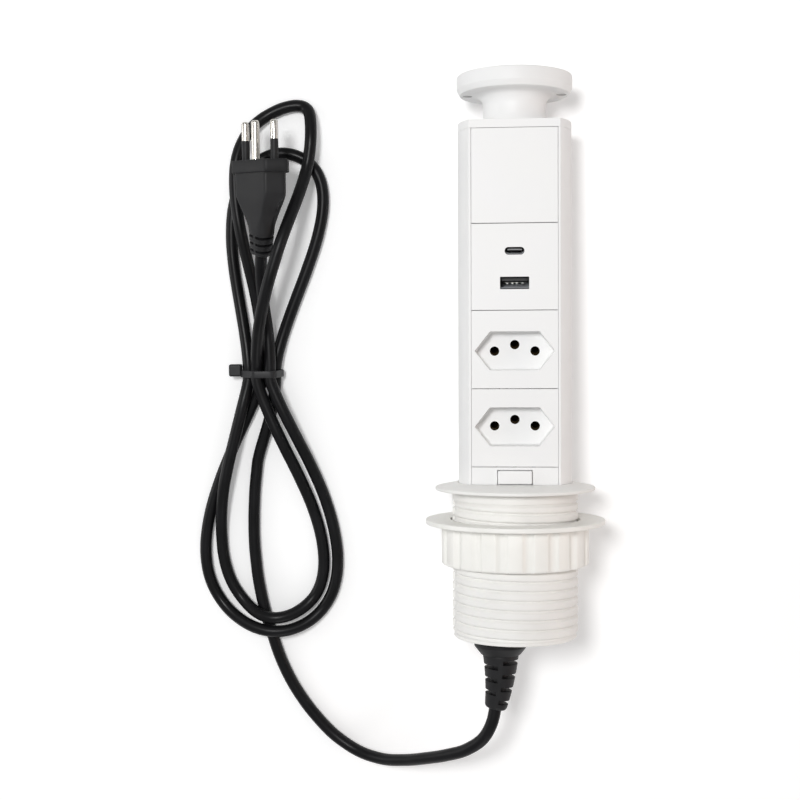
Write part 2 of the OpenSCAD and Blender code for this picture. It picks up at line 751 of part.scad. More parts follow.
// Sprung contact tubes, each slit along its length
module contacts(at) {
    color(brass) lay_down() for (p = pin_places) difference() {
        back_rod(contact_d, contact_len, block_y, at + p.y, p.x);
        back_rod(pin_hole_d - contact_slot / 2, contact_len + 2 * over, block_y - over, at + p.y, p.x);
        translate([p.x - contact_slot / 2, block_y - over, at + p.y])
            cube([contact_slot, contact_len * 2 / 3 + over, contact_d]);
    }
}
module upper_contacts() { contacts(upper_socket_at); }
module lower_contacts() { contacts(lower_socket_at); }
// Bus bar that joins the two contacts of one pole and runs down to its lead
bar_bottom = lower_socket_at - bar_tail;
module bus_bar(x, lift_z) {
    translate([x - bar_w / 2, bar_y, bar_bottom])
        cube([bar_w, bar_t, upper_socket_at - bar_bottom + lift_z + bar_w / 2]);
}
module line_bar() { color(brass) lay_down() bus_bar(-pin_pitch / 2, 0); }
module neutral_bar() { color(brass) lay_down() bus_bar(pin_pitch / 2, 0); }
module earth_bar() { color(brass) lay_down() bus_bar(0, earth_offset); }

// Lower cover: its plate runs down inside the sleeve, and its guide holds the latch button
latch_at = latch_z + latch_h / 2;
module latch_cover() {
    w = latch_w + 2 * latch_gap;
    h = latch_h + 2 * latch_gap;
    guide_in = w / 2 + latch_flange + latch_gap;
    color(white) lay_down() difference() {
        union() {
            translate([-cover_w / 2 + seat_gap, -front_flat, shell_bottom])
                cube([cover_w - 2 * seat_gap, cover_t, lower_socket_z - seam / 2 - shell_bottom]);
            for (s = [-1, 1]) translate([s * (guide_in + guide_w / 2) - guide_w / 2, -cover_back, latch_z])
                cube([guide_w, guide_len, latch_h]);
            front_box(2 * guide_in, guide_w, latch_h, guide_len - guide_w - cover_back, latch_z);
        }
        front_box(w, cover_t + 2 * over, h, -front_flat - over, latch_at - h / 2);
    }
}
module latch_button() {
    flange_y = move_gap - cover_back;
    color(white) lay_down() difference() {
        union() {
            front_box(latch_w, front_flat + latch_proud + flange_y, latch_h, -front_flat - latch_proud, latch_z);
            front_box(latch_w + 2 * latch_flange, latch_flange_t, latch_h + latch_flange, flange_y,
                latch_z - latch_flange / 2);
        }
        translate([-latch_w, -front_flat - latch_proud, latch_z + latch_h]) rotate([45, 0, 0])
            translate([0, -latch_round, -latch_round]) cube([2 * latch_w, 2 * latch_round, 2 * latch_round]);
    }
}
spring_y1 = move_gap - cover_back + latch_flange_t + table_gap;
spring_y2 = guide_len - guide_w - cover_back - table_gap;
module latch_spring() {
    rest_len = spring_y2 - spring_y1 - spring_wire;
    count = spring_turns * spring_rings;
    path = [for (i = [0 : count]) let(a = 360 * i / spring_rings) [(spring_d - spring_wire) / 2 * cos(a),
        spring_y1 + spring_wire / 2 + rest_len * i / count, latch_at + (spring_d - spring_wire) / 2 * sin(a)]];
    color(steel) lay_down() tube(path, spring_wire / 2, spring_sides, [1, 0, 0]);
}

module bottom_cap() {
    color(white) lay_down() difference() {
        union() {
            translate([0, 0, -tower_tail]) linear_extrude(bottom_cap_t) tower_outline();
            translate([0, 0, shell_bottom]) spigot(spigot_h);
            for (s = [-1, 1]) translate([s * clamp_screw_at - gland_x, 0, shell_bottom + spigot_h - over])
                cylinder(d = clamp_h - 2 * clamp_lift, h = clamp_lift + over, $fn = hull_fn);
        }
        translate([-gland_x, 0, -tower_tail - over])
            cylinder(d = cord_d + 2 * seat_gap, h = bottom_cap_t + spigot_h + 2 * over, $fn = round_fn);
        for (s = [-1, 1]) translate([s * clamp_screw_at - gland_x, 0, shell_bottom])
            cylinder(d = port_bore, h = spigot_h + clamp_lift + over, $fn = round_fn);
        at_ports() translate([0, 0, -tower_tail - over])
            cylinder(d = screw_d + 2 * seat_gap, h = bottom_cap_t + 2 * over, $fn = round_fn);
    }
}
// Pan-headed screw with its head's seat at zero and its shank upwards
module pan_screw(len) {
    difference() {
        union() {
            translate([0, 0, -screw_head_h]) cylinder(d = screw_head_d, h = screw_head_h, $fn = round_fn);
            cylinder(d = port_bore - seat_gap, h = len, $fn = round_fn);
        }
        translate([0, 0, -screw_head_h]) cross_slot(screw_head_d, screw_head_h / 2);
    }
}
module cap_screws() {
    color(steel) lay_down() at_ports() {
        translate([0, 0, -tower_tail]) pan_screw(screw_len);
        translate([0, 0, top_z - screw_head_h]) rotate([180, 0, 0]) pan_screw(screw_len);
    }
}
clamp_z = shell_bottom + spigot_h + clamp_lift;
module cord_clamp() {
    color(warm_white) lay_down() difference() {
        translate([-gland_x - clamp_w / 2, -clamp_h / 2, clamp_z]) cube([clamp_w, clamp_h, clamp_t]);
        translate([-gland_x, 0, clamp_z - over])
            cylinder(d = cord_d + 2 * seat_gap, h = clamp_t + 2 * over, $fn = round_fn);
        for (s = [-1, 1]) translate([s * clamp_screw_at - gland_x, 0, clamp_z - over])
            cylinder(d = port_bore + seat_gap, h = clamp_t + 2 * over, $fn = round_fn);
    }
}
module clamp_screws() {
    color(steel) lay_down() for (s = [-1, 1])
        translate([s * clamp_screw_at - gland_x, 0, clamp_z + clamp_t]) rotate([180, 0, 0])
            pan_screw(clamp_screw_len);
}
// Lead's jacket from the relief's end up to the clamp, and its three cores up to the bus bars
module cord_inlet() {
    bend = [for (i = [12 : -1 : 0]) relief_at(i / 12)];
    straight = [for (z = [relief_top / 2 + (shell_bottom + inlet_up) / 2, shell_bottom + inlet_up]) [-gland_x, 0, z]];
    color(black) lay_down() tube(concat(bend, straight), cord_r, tube_sides, [0, 1, 0]);
}
wire_start_z = shell_bottom + inlet_up;
module core_wire(x, y, tint) {
    top = [x, bar_y + bar_t + wire_d / 2 + table_gap, bar_bottom];
    base = [-gland_x + wire_spread * sign(x + table_gap), y, wire_start_z];
    rise = top.z - base.z;
    path = concat([for (i = [0 : wire_points]) let(u = i / wire_points, v = flat_blend(u))
        [base.x + (top.x - base.x) * v, base.y + (top.y - base.y) * v, base.z + rise * u]],
        [[top.x, top.y, top.z + wire_d], [top.x, top.y, top.z + bar_w]]);
    color(tint) lay_down() tube(path, wire_d / 2, tube_sides, [0, 1, 0]);
}
module line_wire() { core_wire(-pin_pitch / 2, 0, "#7a4a2c"); }
module neutral_wire() { core_wire(pin_pitch / 2, 0, "#3f6fb0"); }
module earth_wire() { core_wire(0, wire_spread, "#5f9a45"); }

// Gland with its ribbed relief, which bends sideways with the lead
module strain_relief() {
    color(black) lay_down() difference() {
        union() {
            translate([-gland_x, 0, -tower_tail - gland_flange_h]) cylinder(d = gland_d, h = gland_flange_h, $fn = round_fn);
            translate([-gland_x, 0, relief_top])
                cylinder(d1 = relief_d1 + gland_shoulder, d2 = gland_d, h = gland_cone_h, $fn = round_fn);
            relief_body();
        }
        tube(concat([[-gland_x, 0, -tower_tail + over], [-gland_x, 0, relief_top + over]],
            [for (i = [0 : 12]) relief_at(i / 12)], [relief_at(1) + over * relief_dir(1)]),
            relief_core_r, tube_sides, [0, 1, 0]);
    }
}
module at_relief(s) {
    translate(relief_at(s)) rotate([0, relief_turn * s, 0]) children();
}
// Ribs stand on a thin core and a spine, with the gaps left and right half a step apart
module relief_body() {
    step = 1 / relief_rings;
    places = [for (i = [0 : 3 * relief_rings]) i / (3 * relief_rings)];
    difference() {
        tube(concat([[-gland_x, 0, relief_top + relief_root]], [for (s = places) relief_at(s)]),
            concat([relief_d1 / 2], [for (s = places) relief_width(s) / 2]), hull_fn, [0, 1, 0]);
        for (i = [0 : relief_rings - 1], side = [-1, 1])
            let(s = (i + (side > 0 ? gap_right_at : gap_left_at)) * step) at_relief(s) relief_gap(side, relief_width(s));
    }
}
function relief_width(s) = relief_d1 + (relief_d2 - relief_d1) * s;
module relief_gap(side, w) {
    difference() {
        translate([side > 0 ? relief_spine : -relief_spine - w, -w, -relief_slot / 2]) cube([w, 2 * w, relief_slot]);
        translate([0, 0, -relief_slot]) cylinder(r = relief_core_r + relief_wall, h = 2 * relief_slot, $fn = hull_fn);
    }
}

// Free stretch of the lead, from the relief down to the table and up to the hank
cord_exit = [relief_at(1).x, lay_y(relief_at(1)), lay_z(relief_at(1))];
exit_dir = let(d = relief_dir(1)) [d.x, d.z * cos(lay_angle), -d.z * sin(lay_angle)];
hank_start = free_points[len(free_points) - 1];
hank_lead_step = [1.6, 13.5, 0];
hank_lead = unit(hank_lead_step);
module power_cord() {
    path = concat([cord_exit, cord_exit + cord_d * exit_dir],
        [for (i = [0 : len(free_points) - 2]) free_points[i]], [hank_start - cord_d * hank_lead, hank_start]);
    color(black) on_table() tube(path, cord_r, tube_sides);
}

// Height at a place between two rows of a table
function climb(rows, u, i = 0) = u <= rows[i + 1][0] ?
    rows[i][1] + (rows[i + 1][1] - rows[i][1]) * flat_blend((u - rows[i][0]) / (rows[i + 1][0] - rows[i][0])) :
    climb(rows, u, i + 1);
// Teardrop: half a turn goes out to the loop's end and half a turn comes back
function teardrop(size, side1, side2, heights, u) =
    let(run = (1 - cos(360 * u)) / 2, side = flat_blend((u - 0.4) / 0.2), k = size[4] + (size[5] - size[4]) * side,
        peak = (k + 1) / (k + 2), reach = size[1] + (size[2] - size[1]) * side,
        belly = reach * sin(360 * u) * pow(sin(180 * u), k) / (2 * pow(peak, (k + 1) / 2) * sqrt(1 - peak)),
        leave = run * run / (run * run + soft_start * soft_start),
        shift = side1 + (side2 - side1) * (u - sin(360 * u) / (2 * PI)))
    [shift + size[3] * pow(run, 1.5) + belly * leave, size[0] * run, climb(heights, u)];
// Cubic run between two places with their directions
function bezier(a, b, c, d, u) = a * pow(1 - u, 3) + 3 * b * u * pow(1 - u, 2) + 3 * c * u * u * (1 - u) + d * pow(u, 3);

function loop_points(size, side1, side2, heights, n, last = 0) =
    [for (i = [0 : n - 1 + last]) hank_at + teardrop(size, side1, side2, heights, i / n)];
plug_out = [-sin(plug_relief_turn) * cos(plug_relief_droop), -cos(plug_relief_turn) * cos(plug_relief_droop),
    -sin(plug_relief_droop)];
plug_exit = plug_at - [0, plug_len, 0] + plug_relief_len * plug_out;
lead_in_pull = 20;
lead_out_pull = 22;
lead_out_bow = 1.2;
function lead_in(n) = let(a = hank_start, b = a + cord_d * hank_lead, e = hank_at + [side_e, 0, low_z])
    concat([a], [for (i = [0 : n - 1]) bezier(b, b + lead_in_pull / 2 * hank_lead, e - [0, lead_in_pull, 0], e, i / n)]);
function lead_out(n) = let(a = hank_at + [side_d, 0, high_z], e = plug_exit + cord_d * plug_out)
    concat([for (i = [1 : n - 1]) bezier(a, a + [lead_out_bow, lead_out_pull, 0], e + lead_out_pull * plug_out, e, i / n)],
        [e, plug_exit]);
function hank_points(n) = concat(lead_in(n / 3),
    loop_points(short_arch, side_e, side_a, short_heights, n),
    loop_points(inner_loop, side_a, side_c, inner_heights, n),
    loop_points(tall_arch, side_c, side_b, tall_heights, n),
    loop_points(outer_loop, side_b, side_d, outer_heights, n, 1),
    lead_out(n / 3));
// Least distance between two strands, past the cord's own neighbouring points
function least_gap(p, away) = min([for (i = [0 : len(p) - 1], j = [i + away : len(p) - 1]) norm(p[i] - p[j])]) - cord_d;
module cord_hank() {
    fine = hank_points(loop_rings * measure_steps);
    echo(least_gap_of_the_hank = least_gap(fine, measure_steps * 5));
    color(black) on_table() tube(hank_points(loop_rings), cord_r, hank_sides);
}

// Strap round the five strands, with its head at the left
module cable_tie() {
    w = 2 * tie_side;
    h = tie_top + tie_t - table_gap;
    color("#3a3a3c") on_table() translate(hank_at) {
        translate([0, tie_w / 2, table_gap]) rotate([90, 0, 0]) linear_extrude(tie_w) difference() {
            rounded_strap(w, h, tie_round);
            translate([0, tie_t]) rounded_strap(w - 2 * tie_t, h - 2 * tie_t, tie_round - tie_t);
        }
        translate([-tie_side - tie_head_w + tie_t / 2, tie_head_shift - tie_head_l / 2, (h - tie_head_h) / 2])
            cube([tie_head_w, tie_head_l, tie_head_h]);
    }
}
module rounded_strap(w, h, r) {
    hull() for (x = [r - w / 2, w / 2 - r], y = [r, h - r]) translate([x, y]) circle(r = r, $fn = hull_fn);
}

// Plug: pins point along +Y, its widest line across, rolled as it lies
module place_plug() {
    on_table() translate(plug_at) rotate([0, 0, plug_turn]) children();
}
module plug_slice(w, h, y, t) {
    translate([0, y + t, 0]) rotate([90, 0, 0]) linear_extrude(t) six_sided(w, h, plug_flat_share);
}
module plug_body() {
    slice = table_gap;
    color(black) place_plug() {
        rotate([0, plug_roll, 0]) difference() {
            union() {
                plug_slice(plug_w, plug_h, -plug_flange, plug_flange);
                hull() {
                    plug_slice(plug_w * plug_body_share, plug_h * plug_body_share, -plug_flange, slice);
                    plug_slice(plug_w * plug_body_share, plug_h * plug_body_share, -plug_shoulder, slice);
                    plug_slice(plug_neck_w, plug_neck_h, -plug_len, slice);
                }
            }
            for (p = pin_places) translate([p.x, -pin_root, p.y]) rotate([-90, 0, 0])
                cylinder(d = (p.x == 0 ? pin_d : live_pin_d) + seat_gap, h = pin_root + over, $fn = round_fn);
        }
        translate([0, -plug_len, 0]) rotate([plug_relief_droop, 0, -plug_relief_turn]) rotate([0, plug_roll, 0])
            plug_relief();
    }
}
// Slotted tail of the plug, from its neck to the lead: flattened, with a spine above and below
module plug_relief() {
    step = plug_relief_len / (plug_relief_slots + 0.5);
    difference() {
        hull() {
            relief_slice(plug_neck_w, plug_neck_h, plug_relief_start);
            relief_slice(plug_relief_w, plug_relief_h, table_gap - plug_relief_len);
        }
        for (i = [0 : plug_relief_slots - 1]) translate([0, -(i + 0.75) * step, 0]) rotate([90, 0, 0])
            linear_extrude(plug_relief_slot, center = true) difference() {
                square([2 * plug_neck_w, 2 * plug_neck_h], center = true);
                square([plug_relief_spine, 2 * plug_neck_h], center = true);
                circle(r = cord_r + relief_wall, $fn = hull_fn);
            }
    }
}
module relief_slice(w, h, y) {
    translate([0, y, 0]) rotate([90, 0, 0]) linear_extrude(table_gap) hull() for (s = [-1, 1])
        translate([s * (w - h) / 2, 0]) circle(d = h, $fn = hull_fn);
}
module plug_pin(d, x, z) {
    translate([x, table_gap - pin_root, z]) rotate([-90, 0, 0]) {
        cylinder(d = d, h = pin_root + pin_len - pin_tip - table_gap, $fn = round_fn);
        translate([0, 0, pin_root + pin_len - pin_tip - table_gap]) cylinder(d1 = d, d2 = d - pin_tip, h = pin_tip, $fn = round_fn);
    }
}
sleeve_out = pin_len * sleeve_len_share;
module plug_live_pins() {
    color(steel) place_plug() rotate([0, plug_roll, 0]) for (s = [-1, 1]) difference() {
        plug_pin(live_pin_d, s * pin_pitch / 2, 0);
        translate([s * pin_pitch / 2, table_gap, 0]) rotate([-90, 0, 0]) difference() {
            cylinder(d = 2 * pin_d, h = sleeve_out - table_gap, $fn = round_fn);
            cylinder(d = live_pin_d - 4 * sleeve_wall, h = sleeve_out - table_gap, $fn = round_fn);
        }
    }
}
module plug_pin_sleeves() {
    color(black) place_plug() rotate([0, plug_roll, 0]) for (s = [-1, 1])
        translate([s * pin_pitch / 2, table_gap, 0]) rotate([-90, 0, 0]) difference() {
            cylinder(d = live_pin_d + seat_gap, h = sleeve_out - table_gap, $fn = round_fn);
            translate([0, 0, -over]) cylinder(d = live_pin_d - 4 * sleeve_wall, h = sleeve_out + over, $fn = round_fn);
        }
}
module plug_earth_pin() {
    color(steel) place_plug() rotate([0, plug_roll, 0]) plug_pin(pin_d, 0, earth_offset);
}

collar_ring();
threaded_sleeve();
friction_ring();
clamp_washer();
lock_nut();
tower_shell();
top_cap();
knob_waist();
knob_disc();
knob_screw();
blank_cover();
usb_cover();
usb_a_shell();
usb_a_tongue();
usb_c_shell();
usb_c_tongue();
usb_board();
usb_transformer();
usb_capacitors();
upper_socket_cover();
lower_socket_cover();
upper_socket_block();
lower_socket_block();
upper_contacts();
lower_contacts();
line_bar();
neutral_bar();
earth_bar();
latch_cover();
latch_button();
latch_spring();
bottom_cap();
cap_screws();
cord_clamp();
clamp_screws();
line_wire();
neutral_wire();
earth_wire();
cord_inlet();
strain_relief();
power_cord();
cord_hank();
cable_tie();
plug_body();
plug_live_pins();
plug_pin_sleeves();
plug_earth_pin();
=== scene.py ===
# Pop up desk socket: a white tower that lies raised out of its desk sleeve, with its tied black lead.
import math

import bmesh
import bpy
import numpy as np
from mathutils import Matrix, Vector


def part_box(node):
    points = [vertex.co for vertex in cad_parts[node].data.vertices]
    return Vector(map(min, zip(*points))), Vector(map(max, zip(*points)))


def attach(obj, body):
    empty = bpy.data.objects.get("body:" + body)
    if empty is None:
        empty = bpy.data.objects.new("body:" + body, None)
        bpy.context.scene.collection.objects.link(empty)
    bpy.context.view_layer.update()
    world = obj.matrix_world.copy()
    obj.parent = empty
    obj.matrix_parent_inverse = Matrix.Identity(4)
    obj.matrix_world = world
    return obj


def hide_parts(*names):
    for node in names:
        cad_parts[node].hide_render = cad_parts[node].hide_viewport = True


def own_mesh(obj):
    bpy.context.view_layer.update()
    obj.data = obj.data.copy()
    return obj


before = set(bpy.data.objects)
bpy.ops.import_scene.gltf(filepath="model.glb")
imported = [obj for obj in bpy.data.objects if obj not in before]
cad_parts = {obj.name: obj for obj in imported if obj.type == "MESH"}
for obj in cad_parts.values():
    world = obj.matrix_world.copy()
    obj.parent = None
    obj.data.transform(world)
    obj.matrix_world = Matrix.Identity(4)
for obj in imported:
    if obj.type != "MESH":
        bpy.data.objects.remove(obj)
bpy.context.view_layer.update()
mm = 0.001
print("frame loaded:", len(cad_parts), "nodes")

# The raised tower lies on the rims of its clamp washer and its knob, so it is tilted a little
# Known fault: the washer's own top is at -13.9, so all that is made here lies 0.9 mm too far towards the cord
lyingTower = {"washerRadius": 42.6, "washerTop": -13.0, "washerThickness": 2.2, "knobRadius": 27.2,
              "knobBandTop": 194.2}
tilt = math.atan((lyingTower["washerRadius"] - lyingTower["knobRadius"])
                 / (lyingTower["knobBandTop"] - lyingTower["washerTop"]))
washerMiddle = lyingTower["washerTop"] - lyingTower["washerThickness"] / 2
washerCentre = sum(np.array(corner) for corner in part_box("clamp_washer")) / 2 / mm
alongShift = washerCentre[1] - washerMiddle * math.cos(tilt)
lift = washerCentre[2] + washerMiddle * math.sin(tilt)


# Upright millimetres, laid on the table: turned about x by a right angle and the tilt, then lifted
def layDown(points):
    x, y, z = np.moveaxis(np.asarray(points, float), -1, 0)
    along = z * math.cos(tilt) - y * math.sin(tilt) + alongShift
    height = lift - y * math.cos(tilt) - z * math.sin(tilt)
    return np.stack([x, along, height], axis=-1)


# Table millimetres, measured from the collar's underside, moved along the table
def onTable(points):
    return np.asarray(points, float) + [0, alongShift, 0]


# The camera hangs almost straight over the table
photoCamera = {"place": (0, 59.83, 681.46), "aim": (-58.0, -7.67, 0), "roll": -0.587, "lens": 61.02,
               "sensor": 36, "clip": (0.05, 20)}


# Looks from its place at its aim, with the picture's right side level until the roll turns it
def hangCamera(look):
    place, aim = Vector(look["place"]) * mm, Vector(look["aim"]) * mm
    forward = (aim - place).normalized()
    right = forward.cross(Vector((0, 1, 0))).normalized()
    turn = Matrix((right, right.cross(forward), -forward)).transposed().to_4x4()
    data = bpy.data.cameras.new("photoCamera")
    data.lens, data.sensor_width = look["lens"], look["sensor"]
    data.clip_start, data.clip_end = look["clip"]
    camera = bpy.data.objects.new("photoCamera", data)
    bpy.context.scene.collection.objects.link(camera)
    camera.matrix_world = Matrix.Translation(place) @ turn @ Matrix.Rotation(math.radians(look["roll"]), 4, "Z")
    bpy.context.scene.camera = camera


hangCamera(photoCamera)
print("camera hung")


# sRGB hex to linear colour
def hexColour(text):
    srgb = np.array([int(text[i : i + 2], 16) for i in (1, 3, 5)]) / 255
    linear = np.where(srgb <= 0.04045, srgb / 12.92, ((srgb + 0.055) / 1.055) ** 2.4)
    return (*linear.tolist(), 1.0)


# One node with its settings and its incoming links
def addNode(tree, kind, settings=None, links=None):
    node = tree.nodes.new(kind)
    for name, value in (settings or {}).items():
        if name in node.inputs:
            node.inputs[name].default_value = value
        else:
            setattr(node, name, value)
    for name, source in (links or {}).items():
        tree.links.new(source, node.inputs[name])
    return node


# Every finish: two close colours that drift into each other, a roughness that drifts, and a fine relief.
# Drift and grain are real sizes in millimetres; a grain finer than a pixel is drawn at about a millimetre.
finishes = {
    # ABS, gloss moulded: the covers and the tower, clean cool white with a soft shine
    "whiteAbs": {"colours": ("#EFEFEF", "#F2F2F1"), "rough": (0.42, 0.5),
                 "grain": 1.1, "relief": 0.004, "drift": 24, "shine": 0.32},
    # ABS, fine spark-eroded mould: the collar and sleeve, a shade greyer and duller
    "collarAbs": {"colours": ("#EBEAE7", "#F1F0ED"), "rough": (0.42, 0.52),
                  "grain": 1.0, "relief": 0.006, "drift": 18},
    # Polypropylene, moulded: the washer, the nut and hidden holders, warm and a little brighter
    "warmPolypropylene": {"colours": ("#F1F0EB", "#F5F4F0"), "rough": (0.36, 0.46),
                          "grain": 1.3, "relief": 0.006, "drift": 15},
    # Flexible PVC, extruded: the lead's jacket, near black with a long soft highlight
    "leadPvc": {"colours": ("#101011", "#151517"), "rough": (0.3, 0.4),
                "grain": 1.4, "relief": 0.01, "drift": 12, "shine": 0.18},
    # Flexible PVC, moulded: plug and relief, charcoal and matt
    "mouldedPvc": {"colours": ("#19191A", "#202022"), "rough": (0.46, 0.56),
                   "grain": 0.9, "relief": 0.012, "drift": 9, "shine": 0.3},
    # Nylon, moulded: the tie, dark grey with a dry shine
    "tieNylon": {"colours": ("#1C1C1E", "#232325"), "rough": (0.4, 0.5),
                 "grain": 0.8, "relief": 0.008, "drift": 6, "shine": 0.35},
    # Liquid crystal polymer, moulded: the wide port's tongue and the linings, dull black
    "tongueBlack": {"colours": ("#161618", "#1D1D1F"), "rough": (0.5, 0.6),
                    "grain": 0.7, "relief": 0.004, "drift": 4},
    # Liquid crystal polymer under its fine contacts: the narrow port's tongue, which shows as a pale line
    "tongueGrey": {"colours": ("#8A8B8D", "#97989A"), "rough": (0.4, 0.5),
                   "grain": 0.7, "relief": 0.004, "drift": 4},
    # Steel, drawn and tinned: the port shells, painted dark grey as a painted reflection of the dark inside of the
    # port
    "tinnedSteelPaintedReflection": {"colours": ("#4A4B4D", "#565759"), "rough": (0.36, 0.48),
                    "grain": 0.8, "relief": 0.006, "drift": 4, "metal": 1},
    # EPDM rubber, moulded: the friction ring
    "ringRubber": {"colours": ("#1E1E20", "#252527"), "rough": (0.65, 0.75),
                   "grain": 0.9, "relief": 0.02, "drift": 5},
    # Brass, nickel plated and turned: the pins, bright warm silver
    "nickelPins": {"colours": ("#CFCBC4", "#DAD7D1"), "rough": (0.18, 0.28),
                   "grain": 0.8, "relief": 0.004, "drift": 5, "metal": 1},
    # Steel, zinc plated: screws and spring, greyer silver
    "zincSteel": {"colours": ("#A9ABAE", "#BDBFC1"), "rough": (0.28, 0.4),
                  "grain": 0.8, "relief": 0.006, "drift": 4, "metal": 1},
    # Brass, stamped: the sprung contacts and bars deep in the sockets, dull brown painted near black as painted shade
    # in the pin holes
    "brassInPaintedShade": {"colours": ("#211A10", "#2B2316"), "rough": (0.55, 0.7),
                  "grain": 0.9, "relief": 0.01, "drift": 5, "metal": 1},
    # Copper alloy, tin plated and sprung: the wide port's contacts, pale marks in the dark
    "contactTin": {"colours": ("#DAD9D5", "#E6E5E2"), "rough": (0.25, 0.35),
                   "grain": 0.7, "relief": 0.002, "drift": 2, "metal": 1},
    # Epoxy board with green solder mask: a wet shine over green
    "boardEpoxy": {"colours": ("#245A38", "#2F6B45"), "rough": (0.25, 0.35),
                   "grain": 1.2, "relief": 0.006, "drift": 3},
    # Polyester tape on the transformer, yellow
    "windingTape": {"colours": ("#CDAE34", "#DDBF48"), "rough": (0.35, 0.45),
                    "grain": 0.9, "relief": 0.01, "drift": 4},
    # Shrunk sleeve of the capacitors, dark blue
    "capacitorSleeve": {"colours": ("#313F56", "#3B4A63"), "rough": (0.3, 0.4),
                        "grain": 1.0, "relief": 0.004, "drift": 3},
    # PVC core insulation: brown, blue and green
    "coreBrown": {"colours": ("#70432A", "#7F4E33"), "rough": (0.4, 0.5),
                  "grain": 0.8, "relief": 0.004, "drift": 4},
    "coreBlue": {"colours": ("#3768A6", "#4375B6"), "rough": (0.4, 0.5),
                 "grain": 0.8, "relief": 0.004, "drift": 4},
    "coreGreen": {"colours": ("#56903F", "#659F4C"), "rough": (0.4, 0.5),
                  "grain": 0.8, "relief": 0.004, "drift": 4},
}


noiseSpread = (0.3, 0.7)  # Most of a noise lies between these values
bumpStrength = 0.6


# A finish as a material: slow noise drives colour and roughness, fine noise drives the relief
def mixFinish(name, look):
    material = bpy.data.materials.new(name)
    material.use_nodes = True
    tree = material.node_tree
    shader = tree.nodes["Principled BSDF"]
    shader.inputs["Metallic"].default_value = look.get("metal", 0)
    shader.inputs["Specular IOR Level"].default_value = look.get("shine", 0.5)
    place = addNode(tree, "ShaderNodeTexCoord").outputs["Object"]
    slow = addNode(tree, "ShaderNodeTexNoise", {"Scale": 1 / (look["drift"] * mm), "Detail": 3}, {"Vector": place})
    fine = addNode(tree, "ShaderNodeTexNoise", {"Scale": 1 / (look["grain"] * mm), "Detail": 2}, {"Vector": place})
    ramp = addNode(tree, "ShaderNodeValToRGB", None, {"Fac": slow.outputs["Fac"]})
    for stop, level, colour in zip(ramp.color_ramp.elements, noiseSpread, look["colours"]):
        stop.position, stop.color = level, hexColour(colour)
    low, high = look["rough"]
    drift = addNode(tree, "ShaderNodeMapRange", {"From Min": noiseSpread[0], "From Max": noiseSpread[1],
                                                 "To Min": low, "To Max": high}, {"Value": slow.outputs["Fac"]})
    bump = addNode(tree, "ShaderNodeBump", {"Strength": bumpStrength, "Distance": look["relief"] * mm},
                   {"Height": fine.outputs["Fac"]})
    tree.links.new(ramp.outputs["Color"], shader.inputs["Base Color"])
    tree.links.new(drift.outputs["Result"], shader.inputs["Roughness"])
    tree.links.new(bump.outputs["Normal"], shader.inputs["Normal"])
    return material


finish = {name: mixFinish(name, look) for name, look in finishes.items()}
print("finishes mixed:", len(finish))


# Squares between neighbouring rows and columns of a grid of points
def gridFaces(rows, columns, joinsEnds):
    i, j = np.meshgrid(np.arange(rows if joinsEnds else rows - 1), np.arange(columns), indexing="ij")
    nextRow, nextColumn = (i + 1) % rows, (j + 1) % columns
    corners = [i * columns + j, i * columns + nextColumn, nextRow * columns + nextColumn, nextRow * columns + j]
    return np.stack(corners, axis=-1).reshape(-1, 4).tolist()


weldDistance = 0.0005  # Millimetres within which points at poles and seams are merged
softenAngle = 32  # Degrees from which an edge is rounded
overlap = 0.5  # Millimetres that a joined solid reaches into the other
overshoot = 1  # Millimetres that a cutter reaches past what it cuts


# A closed solid from rows of points: rows join into tubes whose ends are flat, or the last row joins the first
def solid(name, rows, look, place=layDown, ring=False, sharp=35):
    rows = place(rows) * mm
    count, columns = rows.shape[:2]
    faces = gridFaces(count, columns, ring)
    if not ring:
        faces += [list(range(columns)), list(range((count - 1) * columns, count * columns))]
    mesh = bpy.data.meshes.new(name)
    mesh.from_pydata(rows.reshape(-1, 3).tolist(), [], faces)
    work = bmesh.new()
    work.from_mesh(mesh)
    bmesh.ops.remove_doubles(work, verts=work.verts, dist=weldDistance * mm)
    bmesh.ops.recalc_face_normals(work, faces=work.faces)
    work.to_mesh(mesh)
    work.free()
    mesh.shade_smooth()
    if sharp:
        mesh.set_sharp_from_angle(angle=math.radians(sharp))
    mesh.materials.append(finish[look])
    piece = bpy.data.objects.new(name, mesh)
    bpy.context.scene.collection.objects.link(piece)
    return piece


# Adds, cuts or joins other solids, and keeps the result as the piece's own mesh
def carve(piece, others, how="DIFFERENCE"):
    for other in others:
        step = piece.modifiers.new(how.lower(), "BOOLEAN")
        step.operation, step.object, step.solver = how, other, "EXACT"
    graph = bpy.context.evaluated_depsgraph_get()
    carved = bpy.data.meshes.new_from_object(piece.evaluated_get(graph))
    piece.modifiers.clear()
    plain, piece.data = piece.data, carved
    carved.name = plain.name
    bpy.data.meshes.remove(plain)
    for other in others:
        bpy.data.objects.remove(other)
    carved.shade_smooth()
    return piece


# Rounds every edge of a boxy piece
def softenEdges(piece, width, segments=3):
    soft = piece.modifiers.new("softEdges", "BEVEL")
    soft.width, soft.segments, soft.harden_normals = width * mm, segments, True
    soft.limit_method, soft.angle_limit = "ANGLE", math.radians(softenAngle)
    return piece


# A plain white block or cutter, whose edges are rounded later
def whiteBlock(name, rows):
    return solid(name, rows, "whiteAbs", sharp=None)


# Puts a finished piece on its body, and lets it stand for CAD nodes
def settle(piece, body, slot, *nodes):
    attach(piece, body)
    if nodes:
        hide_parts(*nodes)
    return piece


# Corners of a rectangle, from its lowest and highest corner
def rectangle(x0, y0, x1, y1):
    return [[x0, y0], [x1, y0], [x1, y1], [x0, y1]]


